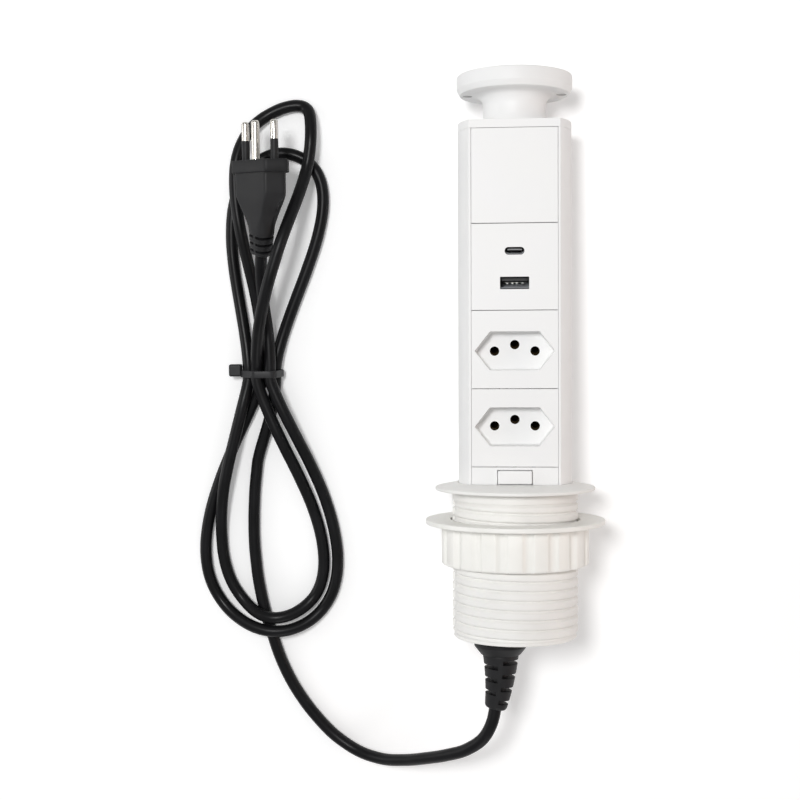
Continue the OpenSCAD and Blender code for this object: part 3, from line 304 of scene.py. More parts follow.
# Corners of a closed outline, each replaced by an arc that touches both of its sides
def roundCorners(corners, radii, steps=6):
    corners, radii = np.asarray(corners, float), np.maximum(np.asarray(radii, float), 1e-5)[:, None]
    toBefore, toAfter = np.roll(corners, 1, 0) - corners, np.roll(corners, -1, 0) - corners
    toBefore /= np.linalg.norm(toBefore, axis=1, keepdims=True)
    toAfter /= np.linalg.norm(toAfter, axis=1, keepdims=True)
    half = np.arccos(np.clip((toBefore * toAfter).sum(1, keepdims=True), -1, 1)) / 2
    middle = toBefore + toAfter
    middle /= np.linalg.norm(middle, axis=1, keepdims=True)
    centre = corners + middle * radii / np.sin(half)
    start = (corners + toBefore * radii / np.tan(half) - centre) / radii
    end = (corners + toAfter * radii / np.tan(half) - centre) / radii
    sweep = (math.pi - 2 * half)[:, None]
    share = np.linspace(0, 1, steps + 1)[None, :, None]
    arc = (np.sin((1 - share) * sweep) * start[:, None] + np.sin(share * sweep) * end[:, None]) / np.sin(sweep)
    return (centre[:, None] + radii[:, None] * arc).reshape(-1, 2)


# Even angles all round
def evenAngles(count):
    return np.linspace(0, 2 * math.pi, count, endpoint=False)


# Even angles all round, with more of them where an edge has to fall
def anglesWith(count, edges):
    return np.unique(np.round(np.concatenate([evenAngles(count), edges]) % (2 * math.pi), 6))


# Radii and heights turned about the tower's axis, with angle zero at the flat front
def turned(radii, heights, angles):
    radii, heights, angles = np.broadcast_arrays(radii, heights, angles)
    return np.stack([radii * np.sin(angles), -radii * np.cos(angles), heights], axis=-1)


# A profile of radius and height, turned all the way round
def turnedProfile(profile, count=192):
    profile = np.asarray(profile, float)
    return turned(profile[:, :1], profile[:, 1:], evenAngles(count))


# Rises from 0 to 1 as three squares less two cubes, level at both ends
def smoothStep(value):
    value = np.clip(value, 0, 1)
    return value * value * (3 - 2 * value)


# A box as two rows of four corners, from its lowest and highest corner
def boxRows(low, high):
    (x0, y0, z0), (x1, y1, z1) = low, high
    ring = np.array(rectangle(x0, z0, x1, z1))
    return np.stack([np.insert(ring, 1, y, axis=1) for y in (y0, y1)])


# A round rod along y, from its centre, diameter and two depths
def rodRows(x, z, diameter, y0, y1, count=48):
    angles = evenAngles(count)
    circle = np.stack([x + diameter / 2 * np.cos(angles), z + diameter / 2 * np.sin(angles)], axis=-1)
    return np.stack([np.insert(circle, 1, y, axis=1) for y in (y0, y1)])


# An outline in x and z, carried through several depths
def depthRows(outlines, depths):
    return np.stack([np.insert(outline, 1, depth, axis=1) for outline, depth in zip(outlines, depths)])


# Radius of a many-sided outline in every direction: the nearest side counts, a power mean rounds its corners
def facetRadius(angles, normals, distances, power):
    pull = np.maximum(np.cos(np.asarray(angles)[..., None] - normals) / distances, 1e-9)
    most = pull.max(-1, keepdims=True)
    return 1 / (most[..., 0] * ((pull / most) ** power).sum(-1) ** (1 / power))


# Normals and distances of a six-sided outline with its tips at the sides
def sixSides(width, height, flatShare):
    slope = width / 2 * (1 - flatShare)
    slant = math.atan2(slope, height / 2)
    far = height * width / 4 / math.hypot(slope, height / 2)
    right = math.pi / 2
    return (np.array([right, -right, slant, -slant, math.pi - slant, math.pi + slant]),
            np.array([height / 2, height / 2, far, far, far, far]))


# Threaded sleeve: a real helix outside, a ring groove inside and a seat for the collar's spigot in its mouth
sleeve = {
    "threadRadius": 29.75, "threadDepth": 1.2, "pitch": 4.45, "length": 69.5, "neck": 4.5, "lip": 1.2,
    "crest": 0.5, "foot": 1.0, "runOut": 2, "stripTurn": -78, "stripWidth": 7, "stripRise": 0.15,
    "boreRadius": 27.25, "boreChamfer": 0.5, "lipChamfer": 0.3, "seatRadius": 28.55, "seatDepth": 1.1, "top": 1,
    "grooveTop": -5, "grooveBottom": -10, "grooveDepth": 1, "threadRows": 210, "sides": 288,
}


# Thread: the share of a turn past each crest gives the tooth's height, and two strips stay low
def makeSleeve(look):
    strips = np.radians([look["stripTurn"], look["stripTurn"] + 180])
    edge = look["stripWidth"] / 2 / look["threadRadius"]
    stops = np.add.outer(strips, edge * np.array([-1.1, -1, -0.9, 0.9, 1, 1.1])).ravel()
    angles = anglesWith(look["sides"], stops)
    outer, root, end = look["threadRadius"], look["threadRadius"] - look["threadDepth"], -look["length"]
    z = np.linspace(look["lip"] - look["length"], -look["neck"], look["threadRows"])[:, None]
    phase = ((z / look["pitch"] + angles / (2 * math.pi)) % 1 - 0.5) * 2
    tooth = 1 - smoothStep((np.abs(phase) - look["crest"]) / (look["foot"] - look["crest"]))
    runOut = (smoothStep((z + look["length"] - look["lip"]) / look["runOut"])
              * smoothStep((-look["neck"] - z) / look["runOut"]))
    away = np.abs((angles[None, :, None] - strips + math.pi) % (2 * math.pi) - math.pi).min(-1)
    strip = 1 - smoothStep((away / edge - 0.9) / 0.2)
    radius = root + look["threadDepth"] * tooth * runOut
    radius = radius * (1 - strip) + (root + look["stripRise"]) * strip
    # Mouth and bore: a rounded profile from the neck to the groove, then straight on to the chamfered lip
    lipRadius = outer - look["threadDepth"] / 2
    bore, groove, seat = look["boreRadius"], look["boreRadius"] + look["grooveDepth"], look["seatRadius"]
    mouth = roundCorners([[outer, -look["neck"]], [outer, look["top"]], [seat, look["top"]],
                          [seat, -look["seatDepth"]], [bore, -look["seatDepth"]], [bore, look["grooveTop"]]],
                         [0, 0.15, 0.15, 0.1, 0.15, 0], 3)
    inside = np.array([[groove, look["grooveTop"]], [groove, look["grooveBottom"]], [bore, look["grooveBottom"]],
                       [bore, look["boreChamfer"] + end], [bore + look["boreChamfer"], end],
                       [lipRadius - look["lipChamfer"], end], [lipRadius, look["lipChamfer"] + end]])
    rows = [turned(radius, z, angles), turned(mouth[:, :1], mouth[:, 1:], angles),
            turned(inside[:, :1], inside[:, 1:], angles)]
    return solid("threadedSleeve", np.concatenate(rows), "collarAbs", ring=True, sharp=38)


settle(makeSleeve(sleeve), "barrel", "collar_plastic", "threaded_sleeve")

# Collar: its top slopes down to a bright rim, and its opening is keyed to the tower's flat with a latch notch
collar = {
    "radius": 37.8, "height": 3.6, "rimHeight": 1.5, "mouthRadius": 27.75, "spigotRadius": 28.45,
    "grooveRadius": 29.85, "grooveHeight": 1.02, "keyRadius": 27.1, "keyFlat": 16.75, "keyDepth": 1,
    "notchHalf": 8.3, "notchOut": 18.7, "keyRound": 0.2, "keyRoundMiddle": 0.06, "keyChamfer": 0.1,
    "spigotFrom": -0.5, "sides": 288,
}


# Profile turned all round, with the key as its opening: a circle cut by the flat front, with a notch for the latch
def makeCollar(look):
    half, flat = look["notchHalf"], look["keyFlat"]
    corners = np.array([math.atan2(half, look["notchOut"]), math.atan2(half, flat),
                        math.acos(flat / look["keyRadius"])])
    angles = anglesWith(look["sides"], np.concatenate([corners, -corners]))
    front = np.abs((angles + math.pi) % (2 * math.pi) - math.pi)
    ahead, aside = np.maximum(np.cos(front), 0.01), np.maximum(np.sin(front), 0.01)
    key = np.where(front < corners[0], look["notchOut"] / ahead, flat / ahead)
    key = np.where((front >= corners[0]) & (front < corners[1]), half / aside, key)
    key = np.minimum(key, look["keyRadius"])
    spigot, groove, ceiling = look["spigotRadius"], look["grooveRadius"], look["grooveHeight"]
    profile = roundCorners(
        [[spigot, look["spigotFrom"]], [spigot, ceiling], [groove, ceiling], [groove, 0], [look["radius"], 0],
         [look["radius"], look["rimHeight"]], [look["mouthRadius"], look["height"]],
         [look["mouthRadius"] - 0.3, look["height"]]], [0, 0, 0, 0.1, 0.4, 0.5, 0.3, 0])
    around, below, chamfer = np.ones(len(angles)), -look["height"] - look["keyDepth"], look["keyChamfer"]
    mouth = np.stack([key + look["keyRound"], key + look["keyRoundMiddle"], key, key, key + chamfer,
                      around * spigot - chamfer, around * spigot])
    heights = np.array([0, -look["keyRoundMiddle"], -look["keyRound"], below + chamfer, below, below,
                        below + chamfer])
    rows = [turned(profile[:, :1], profile[:, 1:], angles), turned(mouth, look["height"] + heights[:, None], angles)]
    return solid("collarRing", np.concatenate(rows), "collarAbs", ring=True, sharp=38)


settle(makeCollar(collar), "barrel", "collar_plastic", "collar_ring")

# Loose washer with softened rims
washer = {"outer": 42.6, "inner": 30.75, "top": -13.9, "bottom": -16.1, "edge": 0.55, "innerEdge": 0.25}


# Rectangle from a ring's inner to its outer radius, with rounded corners
def ringProfile(look, steps=6):
    edges = [look["innerEdge"], look["edge"], look["edge"], look["innerEdge"]]
    return roundCorners(rectangle(look["inner"], look["bottom"], look["outer"], look["top"]), edges, steps)


# Ring profile, turned round the axis
def makeWasher(look):
    return solid("clampWasher", turnedProfile(ringProfile(look), 256), "warmPolypropylene", ring=True, sharp=50)


settle(makeWasher(washer), "washer", "white_plastic", "clamp_washer")

# Ring nut with crowned lobes between round flutes
nut = {"outer": 35.0, "inner": 30.05, "top": -16.2, "bottom": -35.3, "edge": 1.5, "innerEdge": 0.3, "flutes": 18,
       "fluteRadius": 3.0, "fluteDepth": 1.5, "crown": 0.35, "blend": 3, "base": 30, "endFollow": 0.35}


# Soft least of a crowned lobe and a round flute in every direction, and of the rounded profile at both ends
def makeNut(look):
    outer, blend, base = look["outer"], look["blend"], look["base"]
    profile = ringProfile(look, 8)
    angles = evenAngles(look["flutes"] * 24)
    step = 2 * math.pi / look["flutes"]
    off = angles % step - step / 2  # Angle from the nearest flute
    lobe = outer - look["crown"] * (1 - np.abs(np.sin(off * look["flutes"] / 2)))
    far = outer + look["fluteRadius"] - look["fluteDepth"]
    inside = np.maximum(look["fluteRadius"] ** 2 - (far * np.sin(off)) ** 2, 0)
    flute = np.where(inside > 0, far * np.cos(off) - np.sqrt(inside), outer + 2)
    # The soft least is taken from a base radius, so that its powers stay small
    powers = np.exp(-blend * lobe + blend * base) + np.exp(-blend * flute + blend * base)
    radius = -np.log(powers) / blend + base
    radii = np.minimum(profile[:, :1], radius - (outer - profile[:, :1]) * look["endFollow"])
    return solid("lockNut", turned(radii, profile[:, 1:], angles), "warmPolypropylene", ring=True, sharp=50)


settle(makeNut(nut), "nut", "warm_white_plastic", "lock_nut")
print("collar, washer and nut made")

# Tower: heights above the collar's underside, and its flat front
tower = {
    "radius": 26.75, "flat": 16.4, "wall": 2.6, "coverWidth": 40.0, "rebateHalf": 20.1, "coverThickness": 2.0,
    "bottom": -62.0, "lowerSocket": 11.8, "upperSocket": 48.1, "usb": 84.4, "blank": 124.6, "cap": 168.7,
    "top": 172.6, "seam": 0.3, "portTurn": 45, "portAt": 21.85, "portRadius": 3.2, "shellEdge": 0.3,
    "capSpigot": 3, "capFit": 0.1, "capEdge": 0.35, "coverEdge": 0.28,
}
farAway = 99  # Millimetres, past everything in the tower


# Distance to the near side of a round boss, in every direction, and far away beside it
def bossRadius(angles, turn, at, radius):
    off = (angles - turn + math.pi) % (2 * math.pi) - math.pi
    inside = np.maximum(radius**2 - (at * np.sin(off)) ** 2, 0)
    return np.where((inside > 0) & (np.abs(off) < math.pi / 2), at * np.cos(off) - np.sqrt(inside), farAway)


# Least radius of a circle, a flat front and the two screw bosses, in every direction
def towerOutline(angles, radius, flat, bossGap=None):
    reach = np.minimum(radius, flat / np.maximum(np.cos(angles), 0.01))
    if bossGap is not None:
        for side in (-1, 1):
            turn = math.pi + side * math.radians(tower["portTurn"])
            reach = np.minimum(reach, bossRadius(angles, turn, tower["portAt"], tower["portRadius"] + bossGap))
    return reach


# Shell: its wall runs round the back from one front lip to the other, with a rebate for the covers
def makeShell(look):
    inner = look["radius"] - look["wall"]
    back = look["flat"] - look["coverThickness"]
    lip = math.acos(look["flat"] / look["radius"])
    seat = math.acos(back / inner)
    around = np.linspace(lip, 2 * math.pi - lip, 181)
    within = np.linspace(2 * math.pi - seat, seat, 241)
    outside = turned(look["radius"], 0, around)[:, :2]
    inside = turned(towerOutline(within, inner, farAway, 0), 0, within)[:, :2]
    lips = np.array([[-look["rebateHalf"], -look["flat"]], [-look["rebateHalf"], -back]])
    outline = np.concatenate([outside, lips, inside, lips[::-1] * [-1, 1]])
    rows = np.stack([np.insert(outline, 2, z, axis=1) for z in (look["bottom"], look["cap"])])
    return softenEdges(whiteBlock("towerShell", rows), look["shellEdge"])


settle(makeShell(tower), "tower", "white_plastic", "tower_shell")

screws = {"hole": 3.2, "head": 5.8, "headDepth": 1.7, "centreHole": 5.2}


# Lid: the tower's outline as a flat plate over a spigot that fills the shell, with two sunk screw holes
def makeTopCap(look, holes):
    lip, fit = math.acos(look["flat"] / look["radius"]), look["capFit"]
    angles = np.unique(np.concatenate([evenAngles(240), [lip, 2 * math.pi - lip]]))
    core = look["radius"] - look["wall"] - fit
    spigot = towerOutline(angles, core, look["flat"] - look["coverThickness"] - fit, fit)
    plate = towerOutline(angles, look["radius"], look["flat"])
    heights = np.array([[look["cap"] - look["capSpigot"]], [look["cap"]], [look["cap"]], [look["top"]]])
    cap = whiteBlock("topCap", turned(np.stack([spigot, spigot, plate, plate]), heights, angles))
    above, sunk = look["top"] + overshoot, look["top"] - holes["headDepth"]
    bore, hole, head = holes["centreHole"] / 2, holes["hole"] / 2, holes["head"] / 2
    profile = [[bore, look["cap"] - (look["capSpigot"] + overshoot)], [bore, above]]
    cutters = [solid("centreHole", turnedProfile(profile, 48), "whiteAbs")]
    for side in (-1, 1):
        turn = math.pi + side * math.radians(look["portTurn"])
        shift = np.array([look["portAt"] * math.sin(turn), -look["portAt"] * math.cos(turn), 0])
        profile = [[hole, look["cap"] - overshoot], [hole, sunk], [head, sunk], [head, above]]
        cutters.append(solid("screwHole", turnedProfile(profile, 48) + shift, "whiteAbs"))
    return softenEdges(carve(cap, cutters), look["capEdge"])


settle(makeTopCap(tower, screws), "tower", "white_plastic", "top_cap")

# Pull knob: a waist that flares upwards, and a disc with a shallow dome, a rim and two round holes below
knob = {
    "foot": 172.6, "waistHeight": 13.6, "waistRadius": 14.65, "footRise": 0.7, "footHeight": 4, "flare": 5.2,
    "flareHeight": 6, "bore": 2.6, "radius": 27.2, "bottom": 186.2, "top": 195.0, "bandTop": 194.2, "dome": 1.2,
    "chamferIn": 1.5, "chamferHeight": 2.6, "holeAt": 22.0, "holeWidth": 5, "holeDepth": 3, "boreTop": 191.7,
}


# Waist: a round column whose foot widens as a square and whose top flares as a quarter circle
def makeWaist(look):
    h = np.linspace(0, look["waistHeight"], 40)
    foot = np.maximum(0, 1 - h / look["footHeight"])
    flare = np.maximum(0, 1 - (look["waistHeight"] - h) / look["flareHeight"])
    radius = look["waistRadius"] + look["footRise"] * foot**2 + look["flare"] * (1 - np.sqrt(1 - flare**2))
    outside = np.stack([radius, look["foot"] + h], axis=-1)
    bore = [[look["bore"], look["foot"] + look["waistHeight"]], [look["bore"], look["foot"]]]
    return solid("knobWaist", turnedProfile(np.concatenate([outside, bore])), "whiteAbs", ring=True, sharp=45)


# Disc: a dome that falls as a square, a quarter-round shoulder and a chamfered underside, all turned round
def makeDisc(look):
    edge = look["top"] - look["bandTop"]
    q = np.linspace(0, 1, 16)
    dome = np.stack([(look["radius"] - edge) * q, look["top"] + look["dome"] * (1 - q * q)], axis=-1)
    turn = np.linspace(math.pi / 2, 0, 8)
    shoulder = np.stack([look["radius"] - edge + edge * np.cos(turn), look["bandTop"] + edge * np.sin(turn)], axis=-1)
    low = look["bottom"]
    under = roundCorners(
        [[look["radius"] - 0.01, low + look["chamferHeight"] + 1], [look["radius"], low + look["chamferHeight"]],
         [look["radius"] - look["chamferIn"], low], [look["bore"], low], [look["bore"], look["boreTop"]],
         [0.5, look["boreTop"]]],
        [0, 0.8, 0.6, 0.1, 0.1, 0])
    profile = np.concatenate([dome, shoulder, under, [[0, look["boreTop"]]]])
    disc = solid("knobDisc", turnedProfile(profile, 224), "whiteAbs", sharp=45)
    turn = evenAngles(32)
    circle = look["holeWidth"] / 2 * np.stack([np.cos(turn), np.sin(turn), 0 * turn], axis=-1)
    ends = np.array([low - overshoot, low + look["holeDepth"]])[:, None, None] * [0, 0, 1]
    cutters = [solid("hole", circle + ends + [at, 0, 0], "whiteAbs") for at in (-look["holeAt"], look["holeAt"])]
    carve(disc, cutters)
    disc.data.set_sharp_from_angle(angle=math.radians(45))
    return disc


settle(makeWaist(knob), "tower", "white_plastic", "knob_waist")
settle(makeDisc(knob), "tower", "white_plastic", "knob_disc")
print("tower shell, lid and knob made")

coverBack = tower["coverThickness"] - tower["flat"]


# Rows of a cover plate between two heights
def coverRows(bottom, top):
    half = tower["coverWidth"] / 2
    return boxRows([-half, -tower["flat"], bottom + tower["seam"] / 2], [half, coverBack, top - tower["seam"] / 2])


# Blank cover with two stiffening ribs behind
ribs = {"side": 13.0, "thickness": 1.4, "depth": 5.0, "end": 4.0, "clear": 3.0}


# Plate joined with two upright boxes
def makeBlankCover(look):
    cover = whiteBlock("blankCover", coverRows(tower["blank"], tower["cap"]))
    low, high = tower["blank"] + look["end"], tower["cap"] - look["end"] - look["clear"]
    half, back = look["thickness"] / 2, coverBack + look["depth"]
    others = [whiteBlock("rib", boxRows([at - half, coverBack - overlap, low], [at + half, back, high]))
              for at in (-look["side"], look["side"])]
    return softenEdges(carve(cover, others, "UNION"), tower["coverEdge"])


settle(makeBlankCover(ribs), "tower", "white_plastic", "blank_cover")

# USB cover: a wide port below and a narrow one with round ends above, on four board posts
usb = {
    "ports": {"wide": {"size": (13.4, 5.7), "corner": 0.35, "at": 97.0},
              "narrow": {"size": (9.1, 3.5), "corner": 1.74, "at": 111.8}},
    "postDiameter": 4.0, "postX": 13.0, "postZ": 14.0, "boardFront": -1.6, "middle": 104.5,
    "liningSetBack": 0.12, "liningClear": 0.02, "liningWall": 0.22,
}


# A block or cutter whose outline is a rounded rectangle, between two depths
def roundedBlock(name, size, corner, at, depths, look="whiteAbs"):
    width, height = size
    outline = roundCorners(rectangle(-width / 2, at - height / 2, width / 2, at + height / 2), [corner] * 4, 12)
    return solid(name, depthRows([outline, outline], depths), look, sharp=None)


# Plate joined with four rods, then cut by two rounded blocks
def makeUsbCover(look):
    cover = whiteBlock("usbCover", coverRows(tower["usb"], tower["blank"]))
    posts = [whiteBlock("post", rodRows(sx * look["postX"], look["middle"] + sz * look["postZ"],
                                        look["postDiameter"], coverBack - overlap, look["boardFront"]))
             for sx in (-1, 1) for sz in (-1, 1)]
    carve(cover, posts, "UNION")
    depths = [-tower["flat"] - overshoot, coverBack + overshoot]
    openings = [roundedBlock(name + "Opening", port["size"], port["corner"], port["at"], depths)
                for name, port in look["ports"].items()]
    return softenEdges(carve(cover, openings), tower["coverEdge"])


# Black lining of an opening: a thin sleeve from just behind the cover's face to the port's metal shell
def makeLining(name, look):
    port, front = look["ports"][name], -tower["flat"] + look["liningSetBack"]
    width, height = port["size"]
    outer, inner = 2 * look["liningClear"], 2 * look["liningWall"]
    lining = roundedBlock(name + "Lining", (width - outer, height - outer), port["corner"] - outer / 2, port["at"],
                          [front, coverBack], "tongueBlack")
    hollow = roundedBlock("hollow", (width - inner, height - inner), max(port["corner"] - inner / 2, 0.1),
                          port["at"], [front - overshoot, coverBack + overshoot])
    return carve(lining, [hollow])


settle(makeUsbCover(usb), "tower", "white_plastic", "usb_cover")
settle(makeLining("wide", usb), "tower", "black_plastic")
settle(makeLining("narrow", usb), "tower", "black_plastic")

# Tinned contacts under the wide port's tongue
contacts = {"places": (-3.5, -1.0, 1.0, 3.5), "size": (1.0, 7.5, 0.12), "top": 97.2, "front": -13.2}


# Four thin flat strips, side by side
def makeContacts(look):
    (wide, deep, thick), top, front = look["size"], look["top"], look["front"]
    for i, x in enumerate(look["places"]):
        rows = boxRows([x - wide / 2, front, top - thick], [x + wide / 2, front + deep, top])
        settle(solid("wideContact%d" % (i + 1), rows, "contactTin", sharp=30), "tower", "brass")


makeContacts(contacts)

# Socket covers: a six-sided recess with a soft lip and a filleted floor, and three pin holes
socket = {
    "width": 37.3, "height": 18.1, "flatShare": 0.62, "depth": 10.0, "draft": 0.18, "fillet": 0.9, "wall": 1.2,
    "floor": 1.6, "holeDiameter": 4.4, "pitch": 19.0, "earth": 3.0, "power": 90, "lowerAt": 30.45, "upperAt": 65.65,
    "innerRadius": 24.05,
}


# Outline of the recess at a distance inside its lip, with points close together at its six corners
def recessOutline(look, inset, at):
    normals, distances = sixSides(look["width"], look["height"], look["flatShare"])
    corner = math.atan2(look["height"] / 2, look["width"] / 2 * look["flatShare"])
    near, corners = np.linspace(-0.06, 0.06, 9), (0, math.pi, corner, -corner, math.pi - corner, corner - math.pi)
    angles = anglesWith(120, np.concatenate([near + turn for turn in corners]))
    radius = facetRadius(angles, normals, distances - inset, look["power"])
    return np.stack([radius * np.cos(angles), at + radius * np.sin(angles)], axis=-1)


# Cup behind the plate, hollowed by outlines that draw in with depth and round the floor's edge
def makeSocketCover(name, look, bottom, top, at):
    cover = whiteBlock(name, coverRows(bottom, top))
    floorAt = look["depth"] - tower["flat"]
    cup = recessOutline(look, -look["wall"], at)
    limit = math.sqrt(look["innerRadius"] ** 2 - coverBack**2)
    cup[:, 0] = np.clip(cup[:, 0], -limit, limit)
    cupBack = floorAt + look["floor"]
    carve(cover, [whiteBlock("cup", depthRows([cup, cup], [coverBack - overlap, cupBack]))], "UNION")
    turn = np.linspace(0, math.pi / 2, 7)
    insets = np.concatenate([[0, 0], look["draft"] + look["fillet"] * (1 - np.cos(turn))])
    lip = [-tower["flat"] - overshoot, -tower["flat"]]
    depths = np.concatenate([lip, floorAt - look["fillet"] * (1 - np.sin(turn))])
    recess = depthRows([recessOutline(look, inset, at) for inset in insets], depths)
    places = [(-look["pitch"] / 2, 0), (0, look["earth"]), (look["pitch"] / 2, 0)]
    cutters = [whiteBlock("recess", recess)]
    cutters += [whiteBlock("pinHole", rodRows(x, at + z, look["holeDiameter"], floorAt - overshoot,
                                              cupBack + overshoot)) for x, z in places]
    return softenEdges(carve(cover, cutters), tower["coverEdge"])


lowerCover = makeSocketCover("lowerSocketCover", socket, tower["lowerSocket"], tower["upperSocket"],
                             socket["lowerAt"])
settle(lowerCover, "tower", "white_plastic", "lower_socket_cover")
upperCover = makeSocketCover("upperSocketCover", socket, tower["upperSocket"], tower["usb"], socket["upperAt"])
settle(upperCover, "tower", "white_plastic", "upper_socket_cover")
print("covers made")

# Latch: the lowest cover runs down inside the sleeve, and the button slides in its opening
latch = {
    "width": 15.8, "height": 6.3, "bottom": 3.8, "proud": 1.9, "gap": 0.3, "flange": 1.6, "flangeThickness": 1.2,
    "guideWidth": 1.6, "guideLength": 11.0, "openingPast": 0.8, "clear": 0.3, "corner": 0.7, "edge": 0.15,
    "frontEdge": [(0.7, 0), (0.35, 0.03), (0.14, 0.14), (0.03, 0.35), (0, 0.7)],  # Insets and depths
}


# Plate with two guide walls and a bridge behind it, and an opening for the button
def makeLatchCover(look):
    half, gap, wall = tower["coverWidth"] / 2, look["gap"], look["guideWidth"]
    cover = whiteBlock("latchCover", boxRows([-half, -tower["flat"], tower["bottom"]],
                                             [half, coverBack, tower["lowerSocket"] - tower["seam"] / 2]))
    guideIn = look["width"] / 2 + 2 * gap + look["flange"]
    low, top, end = look["bottom"], look["bottom"] + look["height"], coverBack + look["guideLength"]
    boxes = [boxRows([middle - wall / 2, coverBack - overlap, low], [middle + wall / 2, end, top])
             for middle in (-(guideIn + wall / 2), guideIn + wall / 2)]
    boxes.append(boxRows([-guideIn - overlap, end - wall, low], [guideIn + overlap, end, top]))
    carve(cover, [whiteBlock("guide", rows) for rows in boxes], "UNION")
    rows = boxRows([-look["width"] / 2 - gap, -tower["flat"] - overshoot, low - gap],
                   [look["width"] / 2 + gap, coverBack + look["openingPast"], top + gap])
    return softenEdges(carve(cover, [whiteBlock("opening", rows)]), tower["coverEdge"])


# Button: rounded outlines that widen with depth at its front edge, with a hidden flange behind the cover
def makeLatchButton(look):
    low, top = look["bottom"], look["bottom"] + look["height"]
    half, front = look["width"] / 2, -tower["flat"] - look["proud"]
    inset, depth = np.array([*look["frontEdge"], (0, look["proud"] + tower["coverThickness"] + look["clear"])]).T
    outlines = [roundCorners(rectangle(-half + shrink, low + shrink, half - shrink, top - shrink),
                             [look["corner"]] * 4) for shrink in inset]
    piece = whiteBlock("latchButton", depthRows(outlines, front + depth))
    behind = coverBack + look["clear"]
    flange = boxRows([-half - look["flange"], behind, low - look["flange"] / 2],
                     [half + look["flange"], behind + look["flangeThickness"], top + look["flange"] / 2])
    return softenEdges(carve(piece, [whiteBlock("flange", flange)], "UNION"), look["edge"], 2)


settle(makeLatchCover(latch), "tower", "white_plastic", "latch_cover")
settle(makeLatchButton(latch), "latch", "white_plastic", "latch_button")

# Spring behind the button
spring = {"width": 4.8, "wire": 0.7, "turns": 5, "at": 6.95, "near": -12.85, "far": -5.05, "stroke": 1.6,
          "perTurn": 24, "sides": 10}


# Wire round a helix: a small circle, standing in the coil's radius, is carried evenly from the near to the far end
def makeSpring(look):
    share = np.linspace(0, 1, look["turns"] * look["perTurn"] + 1)[:, None]
    turn = 2 * math.pi * look["turns"] * share
    around = evenAngles(look["sides"])[None, :]
    wire = look["wire"] / 2
    radius = look["width"] / 2 - wire + wire * np.cos(around)
    depth = look["near"] + wire + (look["far"] - look["near"] - 2 * wire) * share + wire * np.sin(around)
    rows = np.stack([radius * np.cos(turn), depth, look["at"] + radius * np.sin(turn)], axis=-1)
    return solid("latchSpring", rows, "zincSteel", sharp=60)


latchSpring = settle(makeSpring(spring), "tower", "steel", "latch_spring")
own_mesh(latchSpring)
print("latch made")

# Gland and ribbed relief, bent sideways round an arc, with slots left and right half a step apart
relief = {
    "x": -6.9, "top": -66.0, "flangeRadius": 12.7, "flangeHeight": 8.5, "coneHeight": 5.0, "length": 25.5,
    "startRadius": 8.5, "endRadius": 5.2, "turn": 12, "steps": 4, "slotWidth": 1.9, "coreRadius": 3.85,
    "boreRadius": 3.05, "rightAt": 0.36, "leftAt": 0.74, "spine": 9, "spineSoft": 0.06, "endRound": 1.3,
    "slotWall": (0.94, 1.1, 0.16),  # Start, end and span of a wall, as shares of the slot's half width
}
reliefTop = relief["top"] - relief["flangeHeight"] - relief["coneHeight"]
bendRadius = relief["length"] / math.radians(relief["turn"])


# Centre and sideways direction at a share of the relief's length: round an arc, and straight on before it
def reliefFrame(share):
    share = np.asarray(share, float)
    angle = np.radians(relief["turn"]) * np.clip(share, 0, 2)
    straight = np.minimum(share, 0) * relief["length"]
    centre = np.stack([relief["x"] - bendRadius * (1 - np.cos(angle)), 0 * share,
                       reliefTop - bendRadius * np.sin(angle) - straight], axis=-1)
    side = np.stack([np.cos(angle), 0 * share, -np.sin(angle)], axis=-1)
    return centre, side


